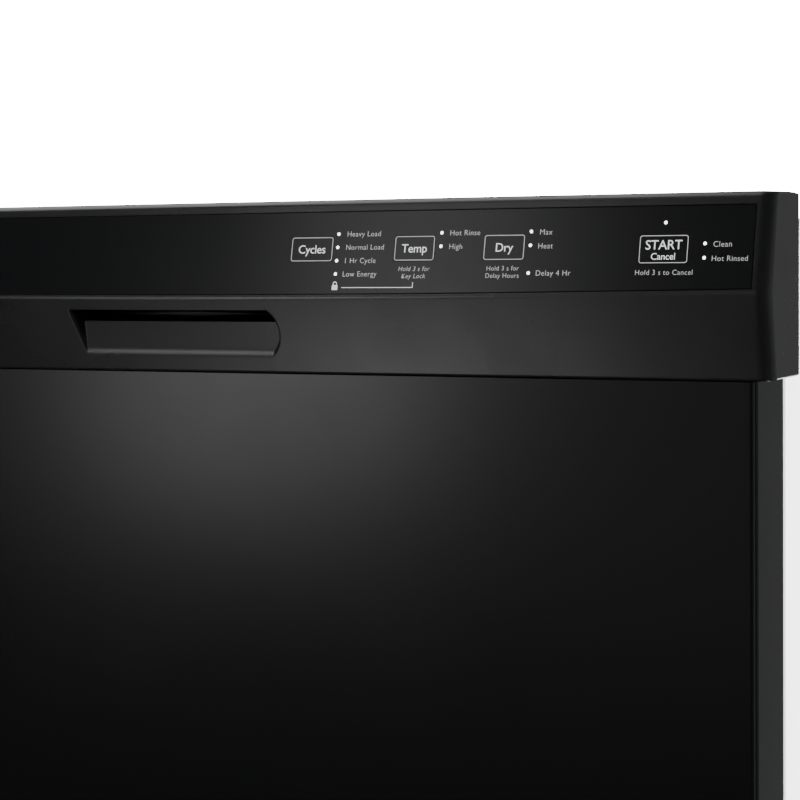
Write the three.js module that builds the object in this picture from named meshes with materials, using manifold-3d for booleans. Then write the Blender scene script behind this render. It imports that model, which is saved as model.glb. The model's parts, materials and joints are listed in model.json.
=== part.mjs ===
// Built-in dishwasher with front controls, a pocket handle and a drop-down door.
// Millimetres. +Z is up, the front faces -Y and +X is to the right when facing the door.
// The origin is on the floor, under the middle of the machine.
import * as THREE from 'three';
import * as BufferGeometryUtils from 'three/addons/utils/BufferGeometryUtils.js';
import Module from 'manifold-3d';

const wasm = await Module();
wasm.setup();

// ---- Driving dimensions -------------------------------------------------------------

const width = 606;
const depth = 622;
const height = 850;
const gap = 0.3;
const front = -depth / 2;
const back = depth / 2;

// Control console
const consoleTopZ = height;
const consoleHeight = 83;
const consoleDepth = 44;
const consoleWall = 3;
const consoleEndRadius = 6;
const ridgeRise = 36.7;
const ridgeBow = 2.7;
const faceLean = THREE.MathUtils.degToRad(12.2);
const lowerFaceSetback = 7;
const topEdgeRadius = 4;

// Control overlay and what shows through it; heights run up the leaning face from the ridge
const overlayThickness = 1.2;
const overlayEnd = 8;
const overlayFoot = 1.6;
const overlayTop = 41.5;
const overlayCorner = 2;
const buttonThickness = 1.6;
const buttonTravel = 0.7;
const buttonSpecs = [
  { name: 'button_cycles', left: 64.5, width: 22.8, rise: 17.5, height: 12 },
  { name: 'button_temperature', left: 120, width: 21, rise: 17.5, height: 12 },
  { name: 'button_dry', left: 166, width: 20.6, rise: 17.5, height: 12 },
  { name: 'button_start', left: 242, width: 23.2, rise: 15.4, height: 13 },
];
const lightRadius = 1;
const lightPitch = 6.4;
const lightFoot = 11.5;
const lightColumns = [
  { x: 89.7, rows: [0, 1, 2, 3] },
  { x: 144.1, rows: [2, 3] },
  { x: 189.3, rows: [0, 2, 3] },
  { x: 272.7, rows: [1, 2] },
];
const startLight = { x: 253.8, rise: 33.9 };
const windowLeft = 58;
const windowRight = 284;
const windowFoot = 8;
const windowTop = 38;

// Pocket handle
const pocketLeftTop = -62.8;
const pocketLeftFoot = -55;
const pocketRight = 57.8;
const pocketEndRadius = 9;
const pocketFootRise = 9.5;
const pocketTopDrop = 6.5;
const pocketDepth = 24;
const pocketWall = 2.5;
const pocketCorner = 4;

// Door
const doorPanelWidth = width - 19;
const doorPanelSetback = 8;
const doorPanelThickness = 1.5;
const doorPanelReturn = consoleDepth;
const doorPanelCorner = 5;
const doorFootZ = 118;
const doorLinerWidth = doorPanelWidth - 17;
const doorLinerThickness = 2;
const dishInset = 26;
const dishDepth = 20;
const hingeZ = 140;
const hingeSetback = 37;

// Tub
const tubWidth = doorPanelWidth - 27;
const tubWall = 3;
const tubFootZ = 185;
const tubTopZ = consoleTopZ - 20;
const tubCorner = 24;
const tubFrontSetback = consoleDepth + 10;
const tubBackClearance = 22;
const tubLip = 12;
const tubTopLip = 17;
const tubLipThickness = 5;
const gasketHeight = 6;
const gasketOverlap = 3;

// Base
const railHeight = 100;
const railThickness = 3;
const railFlange = 28;
const railInset = 5;
const footHeight = 14;
const footRadius = 16;
const studRadius = 5;
const toeSetback = 76;
const toeFootZ = 14;
const toeTopZ = 108;

// Racks
const rackWidth = tubWidth - 70;
const rackBackGap = 69.7;
const rackWall = 5;
const rackDoorGap = 24;
const lowerRackZ = 236;
const lowerRackHeight = 150;
const upperRackZ = 500;
const upperRackHeight = 140;
const wheelRadius = 18;
const wheelWidth = 9;
const trackHeight = 16;
const trackWidth = 8;

// Water system
const sumpRadius = 95;
const sumpDepth = 70;
const armBackGap = 35;
const armWidth = 44;
const armThickness = 12;
const lowerArmZ = 218;
const upperArmZ = 462;
const hubRadius = 14;
const pumpRadius = 42;
const feedTubeRadius = 9;

// ---- Derived places -------------------------------------------------------------------

const halfWidth = width / 2;
const consoleFootZ = consoleTopZ - consoleHeight;
const ridgeZ = consoleFootZ + ridgeRise;
const consoleBackY = front + consoleDepth;
const leanSlope = Math.tan(faceLean);
const doorPanelY = front + doorPanelSetback;
const doorPanelBackY = doorPanelY + doorPanelReturn;
const linerFrontY = consoleBackY + gap;
const linerBackY = linerFrontY + doorLinerThickness;
const dishBackY = linerBackY + dishDepth;
const hingeY = front + hingeSetback;
const tubFrontY = front + tubFrontSetback;
const tubBackY = back - tubBackClearance;
const tubHalf = tubWidth / 2;
const tubInnerHalf = tubHalf - tubWall;
const tubFloorZ = tubFootZ + tubWall;
const tubMiddleY = (tubFrontY + tubBackY) / 2;
const rackFrontY = dishBackY + rackDoorGap;
const rackBackY = tubBackY - rackBackGap;
const rackMiddleY = (rackFrontY + rackBackY) / 2;
const railTopZ = footHeight + railHeight;

// ---- Solid helpers --------------------------------------------------------------------

// Turns a closed three.js geometry into a solid that can be joined and cut.
function solid(geometry) {
  const bare = geometry.clone();
  for (const name of Object.keys(bare.attributes)) {
    if (name !== 'position') bare.deleteAttribute(name);
  }
  const merged = BufferGeometryUtils.mergeVertices(bare, 1e-4);
  return new wasm.Manifold(new wasm.Mesh({
    numProp: 3,
    vertProperties: new Float32Array(merged.attributes.position.array),
    triVerts: new Uint32Array(merged.index.array),
  }));
}

function geometryOf(body) {
  const mesh = body.getMesh();
  const geometry = new THREE.BufferGeometry();
  geometry.setAttribute('position', new THREE.BufferAttribute(new Float32Array(mesh.vertProperties), 3));
  geometry.setIndex(new THREE.BufferAttribute(new Uint32Array(mesh.triVerts), 1));
  geometry.computeVertexNormals();
  return geometry;
}

function join(...bodies) {
  return bodies.reduce((sum, body) => sum.add(body));
}

function cut(body, ...tools) {
  return tools.reduce((rest, tool) => rest.subtract(tool), body);
}

// Box between two corners.
function box([x0, y0, z0], [x1, y1, z1]) {
  const geometry = new THREE.BoxGeometry(x1 - x0, y1 - y0, z1 - z0);
  geometry.translate((x0 + x1) / 2, (y0 + y1) / 2, (z0 + z1) / 2);
  return solid(geometry);
}

// Cylinder along an axis, from one point to a length further on.
function rod(axis, radius, length, [x, y, z], sides = 16) {
  const geometry = new THREE.CylinderGeometry(radius, radius, length, sides);
  geometry.translate(0, length / 2, 0);
  if (axis === 'x') geometry.rotateZ(-Math.PI / 2);
  if (axis === 'z') geometry.rotateX(Math.PI / 2);
  geometry.translate(x, y, z);
  return solid(geometry);
}

// Body of revolution about +Z; the profile lists radius and height pairs.
function turned(profile, [x, y, z], sides = 20) {
  const points = profile.map(([radius, rise]) => new THREE.Vector2(radius, rise));
  const geometry = new THREE.LatheGeometry(points, sides);
  geometry.rotateX(Math.PI / 2);
  geometry.translate(x, y, z);
  return solid(geometry);
}

// Outline with rounded corners; `first` and `second` are the plane's two directions.
function roundedOutline(left, foot, right, top, radius) {
  const shape = new THREE.Shape();
  shape.moveTo(left + radius, foot);
  shape.lineTo(right - radius, foot);
  shape.absarc(right - radius, foot + radius, radius, -Math.PI / 2, 0);
  shape.lineTo(right, top - radius);
  shape.absarc(right - radius, top - radius, radius, 0, Math.PI / 2);
  shape.lineTo(left + radius, top);
  shape.absarc(left + radius, top - radius, radius, Math.PI / 2, Math.PI);
  shape.lineTo(left, foot + radius);
  shape.absarc(left + radius, foot + radius, radius, Math.PI, 1.5 * Math.PI);
  return shape;
}

// Outline in X and Z, pushed back along +Y from one depth to another.
function slabY(shape, y0, y1, curveSegments = 4) {
  const geometry = new THREE.ExtrudeGeometry(shape, { depth: y1 - y0, bevelEnabled: false, curveSegments });
  geometry.rotateX(Math.PI / 2);
  geometry.translate(0, y1, 0);
  return solid(geometry);
}

// Outline in X and Y, raised along +Z from one height to another.
function slabZ(shape, z0, z1, curveSegments = 4) {
  const geometry = new THREE.ExtrudeGeometry(shape, { depth: z1 - z0, bevelEnabled: false, curveSegments });
  geometry.translate(0, 0, z0);
  return solid(geometry);
}

// Round tube along a smooth line through the given points.
function tube(points, radius, steps, sides = 8) {
  const path = new THREE.CatmullRomCurve3(points.map((point) => new THREE.Vector3(...point)));
  const section = new THREE.Shape();
  for (let side = 0; side < sides; side += 1) {
    const angle = side * 2 * Math.PI / sides;
    const place = [radius * Math.cos(angle), radius * Math.sin(angle)];
    if (side === 0) section.moveTo(...place);
    else section.lineTo(...place);
  }
  return solid(new THREE.ExtrudeGeometry(section, { extrudePath: path, steps, bevelEnabled: false }));
}

const black = { color: 0x17171a, roughness: 0.32, metalness: 0 };
const gloss = { color: 0x0a0a0c, roughness: 0.08, metalness: 0 };
const greyPlastic = { color: 0x9da1a4, roughness: 0.5, metalness: 0 };
const darkPlastic = { color: 0x3a3d42, roughness: 0.55, metalness: 0 };
const whitePlastic = { color: 0xe4e4e0, roughness: 0.45, metalness: 0 };
const blanketFelt = { color: 0xf1f0ec, roughness: 0.95, metalness: 0 };
const steel = { color: 0xb5b7b9, roughness: 0.35, metalness: 1 };
const zinc = { color: 0x8f9396, roughness: 0.45, metalness: 1 };
const coatedWire = { color: 0x8a9096, roughness: 0.4, metalness: 0 };
const rubber = { color: 0x55585c, roughness: 0.8, metalness: 0 };
const circuit = { color: 0x1d5a38, roughness: 0.5, metalness: 0 };

function piece(name, body, finish) {
  const mesh = new THREE.Mesh(geometryOf(body), new THREE.MeshStandardMaterial(finish));
  mesh.name = name;
  return mesh;
}

const machine = new THREE.Group();
const door = new THREE.Group();
machine.add(door);

// ---- Control console --------------------------------------------------------------------

// How far the ridge stands above its lowest point, at the middle of the console.
function ridgeLift(x) {
  return ridgeBow * (x / halfWidth) ** 2;
}

// Front to back section of the console at one place across it, moved inwards by `inset`.
function consoleSection(x, inset) {
  const endGap = Math.max(0, consoleEndRadius - (halfWidth - Math.abs(x)));
  const rounding = consoleEndRadius - Math.sqrt(consoleEndRadius ** 2 - endGap ** 2);
  const lift = ridgeLift(x);
  const ridgeY = front + lift * leanSlope + inset;
  const topZ = consoleTopZ - inset;
  const footZ = consoleFootZ + inset;
  const faceY = (z) => front + (z - ridgeZ) * leanSlope + inset;
  const radius = topEdgeRadius - inset / 2;
  const topY = faceY(topZ - radius);
  const backY = consoleBackY;
  const section = [
    [ridgeY, ridgeZ + lift],
    [front + lowerFaceSetback + inset, footZ + 1],
    [front + lowerFaceSetback + inset + 1, footZ],
    [backY, footZ],
    [backY, topZ],
  ];
  for (let step = 0; step <= 4; step += 1) {
    const angle = step * Math.PI / 8;
    section.push([topY + radius * (1 - Math.sin(angle)), topZ - radius * (1 - Math.cos(angle))]);
  }
  const reach = backY - front;
  return section.map(([y, z]) => [y + rounding * (backY - y) / reach, z]);
}

// Closed body through a run of sections across the machine.
function loftAcross(stations, sectionAt) {
  const rings = stations.map((x) => sectionAt(x).map(([y, z]) => [x, y, z]));
  const count = rings[0].length;
  const positions = rings.flat(2);
  const indices = [];
  for (let ring = 0; ring + 1 < rings.length; ring += 1) {
    for (let corner = 0; corner < count; corner += 1) {
      const here = ring * count + corner;
      const next = ring * count + (corner + 1) % count;
      indices.push(here, next, here + count, next, next + count, here + count);
    }
  }
  const endSection = sectionAt(stations[0]).map(([y, z]) => new THREE.Vector2(y, z));
  const cap = THREE.ShapeUtils.triangulateShape(endSection, []);
  const last = (rings.length - 1) * count;
  for (const [a, b, c] of cap) {
    indices.push(a, c, b, last + a, last + b, last + c);
  }
  const geometry = new THREE.BufferGeometry();
  geometry.setAttribute('position', new THREE.Float32BufferAttribute(positions, 3));
  geometry.setIndex(indices);
  const body = solid(geometry);
  if (body.volume() > 0) return body;
  geometry.setIndex(indices.map((_, place) => indices[place - place % 3 + [0, 2, 1][place % 3]]));
  return solid(geometry);
}

function stationsTo(end) {
  const half = [0, 0.25, 0.5, 0.75].map((share) => share * (end - consoleEndRadius));
  for (let step = 0; step <= 4; step += 1) {
    half.push(end - consoleEndRadius * (1 - Math.sin(step * Math.PI / 8)));
  }
  return [...half.slice(1).reverse().map((x) => -x), ...half];
}

// Outline of the pocket handle, grown by a margin.
function pocketOutline(margin) {
  const top = ridgeZ - pocketTopDrop + margin;
  const foot = consoleFootZ + pocketFootRise - margin;
  const shape = new THREE.Shape();
  const left = pocketLeftFoot - margin;
  const right = pocketRight + margin;
  shape.moveTo(pocketLeftTop - margin, top);
  shape.lineTo(left - pocketCorner / 4, foot + pocketCorner);
  shape.quadraticCurveTo(left, foot, left + pocketCorner, foot);
  shape.lineTo(right - pocketEndRadius, foot);
  shape.quadraticCurveTo(right, foot, right, foot + pocketEndRadius);
  shape.lineTo(right, top - pocketEndRadius);
  shape.quadraticCurveTo(right, top, right - pocketEndRadius, top);
  shape.closePath();
  return shape;
}

// Pieces on the leaning face share this group: X across, +Y into the console, +Z up the face.
const face = new THREE.Group();
face.position.set(0, front, ridgeZ);
face.rotation.x = -faceLean;
door.add(face);
face.updateMatrix();

function overlayShape(margin) {
  const end = halfWidth - overlayEnd + margin;
  const top = overlayTop + margin;
  const shape = new THREE.Shape();
  const foot = (x) => overlayFoot - margin + ridgeLift(x);
  shape.moveTo(-end, foot(end));
  for (let step = -9; step <= 10; step += 1) {
    const x = end * step / 10;
    shape.lineTo(x, foot(x));
  }
  shape.lineTo(end, top - overlayCorner);
  shape.absarc(end - overlayCorner, top - overlayCorner, overlayCorner, 0, Math.PI / 2);
  shape.lineTo(-end + overlayCorner, top);
  shape.absarc(-end + overlayCorner, top - overlayCorner, overlayCorner, Math.PI / 2, Math.PI);
  shape.closePath();
  return shape;
}

const lightPlaces = lightColumns.flatMap(({ x, rows }) => rows.map((row) => [x, lightFoot + row * lightPitch]));
lightPlaces.push([startLight.x, startLight.rise]);

function buttonBox(spec, margin, y0, y1) {
  return box(
    [spec.left - margin, y0, spec.rise - margin],
    [spec.left + spec.width + margin, y1, spec.rise + spec.height + margin],
  );
}

function controlOverlay() {
  const sheet = slabY(overlayShape(0), 0, overlayThickness);
  const buttonHoles = buttonSpecs.map((spec) => buttonBox(spec, gap, -1, overlayThickness + 1));
  const lightHoles = lightPlaces.map(([x, rise]) => (
    rod('y', lightRadius + gap, overlayThickness + 2, [x, -1, rise], 8)));
  return cut(sheet, ...buttonHoles, ...lightHoles);
}

function consoleHousing() {
  const shell = cut(
    loftAcross(stationsTo(halfWidth), (x) => consoleSection(x, 0)),
    loftAcross(stationsTo(halfWidth - consoleWall), (x) => (
      consoleSection(x, consoleWall).map(([y, z]) => [y >= consoleBackY ? y + 1 : y, z]))),
  );
  const pocketBackY = front + pocketDepth;
  const cupFrontY = front + lowerFaceSetback + consoleWall - 1;
  const cup = slabY(pocketOutline(pocketWall), cupFrontY, pocketBackY + pocketWall);
  const seat = slabY(overlayShape(gap), -4, overlayThickness + gap);
  const window = box([windowLeft, -1, windowFoot], [windowRight, 10, windowTop]);
  const placed = join(seat, window).transform([...face.matrix.elements]);
  return cut(join(shell, cup), slabY(pocketOutline(0), front - 1, pocketBackY), placed);
}

// Pad in the overlay with a stem that reaches the switch on the control board.
const boardY = 13;
function controlButton(spec) {
  const middle = spec.left + spec.width / 2;
  const rise = spec.rise + spec.height / 2;
  const stem = rod('y', 2.5, boardY - gap - buttonTravel, [middle, 0, rise], 8);
  const pad = buttonBox(spec, 0, 0, buttonThickness);
  return join(pad, cut(stem, box([middle - 5, -1, rise - 5], [middle + 5, 1, rise + 5])));
}

// Clear pins that bring the lamps' light to the overlay, moulded on one bar per column.
function lightGuide() {
  const barY = overlayThickness + gap + buttonTravel + 4;
  const pins = lightPlaces.map(([x, rise]) => rod('y', lightRadius, barY + 1, [x, 0, rise], 6));
  const bars = lightColumns.map(({ x, rows }) => box(
    [x - 1.5, barY, windowFoot + 1],
    [x + 1.5, barY + 2, x > startLight.x ? startLight.rise : lightFoot + rows[rows.length - 1] * lightPitch + 2],
  ));
  bars.push(box(
    [startLight.x - 1.5, barY, startLight.rise - 1.5],
    [lightColumns[3].x + 1.5, barY + 2, startLight.rise + 1.5],
  ));
  const beam = box(
    [lightColumns[0].x - 1.5, barY, windowFoot + 1],
    [lightColumns[3].x + 1.5, barY + 2, windowFoot + 3],
  );
  return join(beam, ...bars, ...pins);
}

function controlBoard() {
  const board = box([windowLeft - 4, boardY, windowFoot - 2], [windowRight + 4, boardY + 1.6, windowTop + 1]);
  const processor = box([100, boardY + 1, windowFoot + 6], [124, boardY + 4, windowTop - 8]);
  const connector = box([200, boardY + 1, windowFoot + 4], [232, boardY + 9, windowFoot + 12]);
  return join(board, processor, connector);
}

door.add(piece('console_housing', consoleHousing(), black));
face.add(piece('control_overlay', controlOverlay(), gloss));
face.add(piece('indicator_light_guide', lightGuide(), whitePlastic));
face.add(piece('control_board', controlBoard(), circuit));
for (const spec of buttonSpecs) {
  face.add(piece(spec.name, controlButton(spec), gloss));
}

// ---- Door latch -------------------------------------------------------------------------

const latchHalf = 26;
const latchFootZ = consoleTopZ - 35;
const latchTopZ = consoleTopZ - consoleWall - 1;
const latchFrontY = front + 13;
const latchWall = 2;
const latchSlotHalf = 14;
const latchSlotFootZ = consoleTopZ - 24;
const latchSlotTopZ = consoleTopZ - 8;
const strikeHalf = 9;
const strikeThickness = 2.5;
const strikeZ = latchSlotTopZ - 5.5;
const strikeTipY = linerFrontY - 12;
const hookPinY = latchFrontY + 8;
const hookPinZ = latchFootZ + 9;
const hookPinRadius = 2.5;
const hookTopZ = strikeZ - 0.6;

function latchCase() {
  const outer = box([-latchHalf, latchFrontY, latchFootZ], [latchHalf, linerFrontY - gap, latchTopZ]);
  const inner = box(
    [-latchHalf + latchWall, latchFrontY + latchWall, latchFootZ + latchWall],
    [latchHalf - latchWall, linerFrontY + 1, latchTopZ - latchWall],
  );
  const pinStart = [-latchHalf + latchWall / 2, hookPinY, hookPinZ];
  const pin = rod('x', hookPinRadius, 2 * latchHalf - latchWall, pinStart, 10);
  return join(cut(outer, inner), pin);
}

// At rest the hook's tooth stands just under the strike, so the door is shut but not held.
function latchHook() {
  const half = 5;
  const eye = rod('x', 5.5, 2 * half, [-half, hookPinY, hookPinZ], 12);
  const beam = box([-half, hookPinY - 2, hookPinZ], [half, hookPinY + 3, hookTopZ - 3]);
  const arm = box([-half, hookPinY - 2, hookTopZ - 7], [half, strikeTipY + 8.5, hookTopZ - 3]);
  const tooth = box([-half + 1, strikeTipY + 6, hookTopZ - 4], [half - 1, strikeTipY + 8.5, hookTopZ]);
  return cut(join(eye, beam, arm, tooth), rod('x', hookPinRadius + gap, 30, [-15, hookPinY, hookPinZ], 10));
}

// Tongue on the tub with a window that the hook's tooth stands in.
function latchStrike() {
  const tongue = box([-strikeHalf, strikeTipY, strikeZ], [strikeHalf, tubFrontY - gap, strikeZ + strikeThickness]);
  const windowCut = box(
    [-5.5, strikeTipY + 2, strikeZ - 1],
    [5.5, strikeTipY + 9.5, strikeZ + strikeThickness + 1],
  );
  const foot = box(
    [-strikeHalf - 8, tubFrontY - gap - 2, strikeZ],
    [strikeHalf + 8, tubFrontY - gap, consoleTopZ - 5],
  );
  return join(cut(tongue, windowCut), foot);
}

door.add(piece('latch_case', latchCase(), darkPlastic));
door.add(piece('latch_hook', latchHook(), steel));
machine.add(piece('latch_strike', latchStrike(), steel));

// ---- Door -------------------------------------------------------------------------------

const hingeX = doorPanelWidth / 2 - 9;

function doorPanel() {
  const half = doorPanelWidth / 2;
  const outer = new THREE.Shape();
  outer.moveTo(-half, doorPanelBackY);
  outer.lineTo(-half, doorPanelY + doorPanelCorner);
  outer.absarc(-half + doorPanelCorner, doorPanelY + doorPanelCorner, doorPanelCorner, Math.PI, 1.5 * Math.PI);
  outer.lineTo(half - doorPanelCorner, doorPanelY);
  outer.absarc(half - doorPanelCorner, doorPanelY + doorPanelCorner, doorPanelCorner, 1.5 * Math.PI, 2 * Math.PI);
  outer.lineTo(half, doorPanelBackY);
  outer.closePath();
  const skin = slabZ(outer, doorFootZ, consoleFootZ - gap, 5);
  const hollow = box(
    [-half + doorPanelThickness, doorPanelY + doorPanelThickness, doorFootZ + doorPanelThickness],
    [half - doorPanelThickness, doorPanelBackY + 1, consoleFootZ - gap - doorPanelThickness],
  );
  const notchInner = hingeX - 6;
  const notchOuter = half - doorPanelThickness;
  const hingeNotches = [-1, 1].map((side) => box(
    [side > 0 ? notchInner : -notchOuter, doorPanelY + doorPanelThickness, doorFootZ - 1],
    [side > 0 ? notchOuter : -notchInner, doorPanelBackY + 1, doorFootZ + 3],
  ));
  const linerNotch = box(
    [-half + doorPanelThickness, linerFrontY - gap, consoleFootZ - 5],
    [half - doorPanelThickness, doorPanelBackY + 1, consoleFootZ],
  );
  return cut(skin, hollow, linerNotch, ...hingeNotches);
}

const dishHalf = doorLinerWidth / 2 - dishInset;
const dishFootZ = tubFootZ + 12;
const dishTopZ = tubTopZ - 26;
const dispenserLeft = -95;
const dispenserRight = 95;
const dispenserTopZ = consoleFootZ - 127;
const dispenserFootZ = dispenserTopZ - 120;
const ventX = 170;
const ventZ = 330;
const ventRadius = 40;

function doorLiner() {
  const half = doorLinerWidth / 2;
  const sheet = slabY(roundedOutline(-half, doorFootZ + 12, half, consoleTopZ - 6, 10), linerFrontY, linerBackY);
  const dish = slabY(roundedOutline(-dishHalf, dishFootZ, dishHalf, dishTopZ, tubCorner), linerFrontY, dishBackY);
  const well = slabY(
    roundedOutline(
      -dishHalf + doorLinerThickness, dishFootZ + doorLinerThickness,
      dishHalf - doorLinerThickness, dishTopZ - doorLinerThickness, tubCorner - doorLinerThickness,
    ),
    linerFrontY - 1, dishBackY - doorLinerThickness,
  );
  const latchSlot = box(
    [-latchSlotHalf, linerFrontY - 1, latchSlotFootZ],
    [latchSlotHalf, linerBackY + 1, latchSlotTopZ],
  );
  const dispenserHole = box(
    [dispenserLeft + 6, linerFrontY, dispenserFootZ + 6],
    [dispenserRight - 6, dishBackY + 1, dispenserTopZ - 6],
  );
  const ventHole = rod('y', ventRadius - 8, dishDepth + 4, [ventX, linerFrontY + 1, ventZ], 20);
  return cut(join(sheet, dish), well, latchSlot, dispenserHole, ventHole);
}

const cupLeft = dispenserLeft + 14;
const cupRight = 5;
const cupFootZ = dispenserFootZ + 20;
const cupTopZ = dispenserTopZ - 20;
const cupDepth = 22;
const capX = 50;
const capZ = (dispenserFootZ + dispenserTopZ) / 2;
const capRadius = 22;
const bezelBackY = dishBackY + gap + 3;

function detergentDispenser() {
  const bezel = slabY(
    roundedOutline(dispenserLeft, dispenserFootZ, dispenserRight, dispenserTopZ, 8),
    dishBackY + gap, bezelBackY,
  );
  const bodyFrontY = doorPanelY + doorPanelThickness + 4;
  const body = box(
    [dispenserLeft + 7, bodyFrontY, dispenserFootZ + 7],
    [dispenserRight - 7, dishBackY + 1, dispenserTopZ - 7],
  );
  const cup = box([cupLeft, bezelBackY - cupDepth, cupFootZ], [cupRight, bezelBackY + 1, cupTopZ]);
  const filler = rod('y', capRadius - 6, cupDepth + 1, [capX, bezelBackY - cupDepth, capZ], 16);
  return cut(join(bezel, body), cup, filler);
}

function detergentLid() {
  const y0 = bezelBackY + gap;
  const lid = slabY(roundedOutline(cupLeft - 3, cupFootZ - 3, cupRight + 3, cupTopZ + 3, 5), y0, y0 + 3);
  const grip = box([cupRight - 12, y0 + 2, cupFootZ + 18], [cupRight - 8, y0 + 6, cupTopZ - 18]);
  return join(lid, grip);
}

function rinseAidCap() {
  const y0 = bezelBackY + gap;
  const disc = rod('y', capRadius, 3, [capX, y0, capZ], 24);
  const grip = box([capX - 15, y0 + 2, capZ - 2.5], [capX + 15, y0 + 7, capZ + 2.5]);
  const neck = rod('y', capRadius - 8, 8, [capX, y0 - 7, capZ], 16);
  return join(disc, grip, neck);
}

function doorVent() {
  const y0 = dishBackY + gap;
  const disc = rod('y', ventRadius, 4, [ventX, y0, ventZ], 24);
  const duct = rod('y', ventRadius - 9, 26, [ventX, y0 - 25, ventZ], 20);
  const slots = [-2, -1, 0, 1, 2].map((step) => {
    const reach = Math.sqrt((ventRadius - 16) ** 2 - (step * 9) ** 2);
    return box([ventX - reach, y0 - 30, ventZ + step * 9 - 2], [ventX + reach, y0 + 8, ventZ + step * 9 + 2]);
  });
  return cut(join(disc, duct), ...slots);
}

door.add(piece('door_panel', doorPanel(), black));
door.add(piece('door_liner', doorLiner(), greyPlastic));
door.add(piece('detergent_dispenser', detergentDispenser(), darkPlastic));
door.add(piece('detergent_lid', detergentLid(), darkPlastic));
door.add(piece('rinse_aid_cap', rinseAidCap(), darkPlastic));
door.add(piece('door_vent', doorVent(), darkPlastic));

// ---- Hinges and door springs --------------------------------------------------------------

const hingeArmThickness = 3;
const hingePinRadius = 4;
const hingePlateX = hingeX + 5;
const springRadius = 6;
const springLength = 150;
const springZ = hingeZ - 55;
const springFrontY = hingeY + 90;

// Plate that is screwed inside the door's edge, with an eye for the hinge pin.
function hingeArm(side) {
  const x0 = side * hingeX - hingeArmThickness / 2;
  const x1 = x0 + hingeArmThickness;
  const plate = box([x0, doorPanelY + 8, hingeZ + 6], [x1, linerFrontY - gap, hingeZ + 220]);
  const eye = rod('x', hingePinRadius + 2.5, hingeArmThickness, [x0, hingeY, hingeZ], 16);
  const neck = box([x0, hingeY - 10, hingeZ + 5], [x1, hingeY + 3, hingeZ + 12]);
  return cut(join(plate, eye, neck), rod('x', hingePinRadius + gap, 20, [x0 - 10, hingeY, hingeZ], 16));
}

// Plate on the base rail that carries the hinge pin.
function hingeBracket(side) {
  const x0 = side * hingePlateX - hingeArmThickness / 2;
  const x1 = x0 + hingeArmThickness;
  const eye = rod('x', 13, hingeArmThickness, [x0, hingeY, hingeZ], 20);
  const arm = box([x0, hingeY, hingeZ - 13], [x1, hingeY + 76, hingeZ + 13]);
  const leg = box([x0, hingeY + 45, hingeZ - 80], [x1, hingeY + 76, hingeZ]);
  const pinStart = side > 0 ? hingeX - 3 : -hingePlateX;
  const pin = rod('x', hingePinRadius, hingePlateX - hingeX + 3, [pinStart, hingeY, hingeZ], 16);
  return join(eye, arm, leg, pin);
}

function doorSpring(side) {
  const x = side * (hingeX - 22);
  const coil = rod('y', springRadius, springLength, [x, springFrontY, springZ], 12);
  const hookFront = rod('y', 1.5, 40, [x, springFrontY - 39, springZ], 8);
  const hookBack = rod('y', 1.5, 24, [x, springFrontY + springLength - 1, springZ], 8);
  return join(coil, hookFront, hookBack);
}

for (const [label, side] of [['left', -1], ['right', 1]]) {
  door.add(piece(`hinge_arm_${label}`, hingeArm(side), zinc));
  machine.add(piece(`hinge_bracket_${label}`, hingeBracket(side), zinc));
  machine.add(piece(`door_spring_${label}`, doorSpring(side), steel));
}

// ---- Tub --------------------------------------------------------------------------------

const sumpY = tubMiddleY + 20;
const floatX = tubInnerHalf - 82;
const armLength = 2 * (tubBackY - tubWall - sumpY - armBackGap);
const floatY = tubFrontY + 95;
const floatRadius = 30;
const guideZ = upperRackZ + upperRackHeight - 45;
const guideHalfHeight = trackHeight / 2 + 4;
const wheelLedge = 1;

function tubBody() {
  const outer = slabY(roundedOutline(-tubHalf, tubFootZ, tubHalf, tubTopZ, tubCorner), tubFrontY, tubBackY);
  const lip = slabY(
    roundedOutline(-tubHalf - tubLip, tubFootZ - tubLip, tubHalf + tubLip, tubTopZ + tubTopLip, tubCorner + 6),
    tubFrontY, tubFrontY + tubLipThickness,
  );
  const inner = slabY(
    roundedOutline(-tubInnerHalf, tubFloorZ, tubInnerHalf, tubTopZ - tubWall, tubCorner - tubWall),
    tubFrontY - 1, tubBackY - tubWall,
  );
  const sumpHole = rod('z', sumpRadius - 12, 20, [0, sumpY, tubFootZ - 5], 24);
  const floatStem = rod('z', 4, 20, [floatX, floatY, tubFloorZ - 1], 10);
  return join(cut(join(outer, lip), inner, sumpHole), floatStem);
}

function tubGasket() {
  const y0 = tubFrontY - gap - 4;
  const outer = roundedOutline(
    -tubHalf - gasketOverlap, tubFootZ - gasketOverlap, tubHalf + gasketOverlap, tubTopZ + gasketOverlap,
    tubCorner,
  );
  const inner = roundedOutline(
    -tubHalf + gasketHeight, tubFootZ + gasketHeight, tubHalf - gasketHeight, tubTopZ - gasketHeight,
    tubCorner - 6,
  );
  return cut(slabY(outer, y0, tubFrontY - gap), slabY(inner, y0 - 1, tubFrontY + 1));
}

// Soft blanket over the top, the sides and the back of the tub.
function insulationBlanket() {
  const clear = 2;
  const thick = 7;
  const y0 = tubFrontY + tubLipThickness + 6;
  const footZ = tubFootZ + 20;
  const outer = slabY(
    roundedOutline(
      -tubHalf - clear - thick, footZ - tubCorner, tubHalf + clear + thick, tubTopZ + clear + thick,
      tubCorner + clear + thick,
    ),
    y0, tubBackY + clear + thick,
  );
  const inner = slabY(
    roundedOutline(-tubHalf - clear, footZ - 2 * tubCorner, tubHalf + clear, tubTopZ + clear, tubCorner + clear),
    y0 - 1, tubBackY + clear,
  );
  const skirt = box([-width, y0 - 2, 0], [width, back + 10, footZ]);
  return cut(outer, inner, skirt);
}

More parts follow.
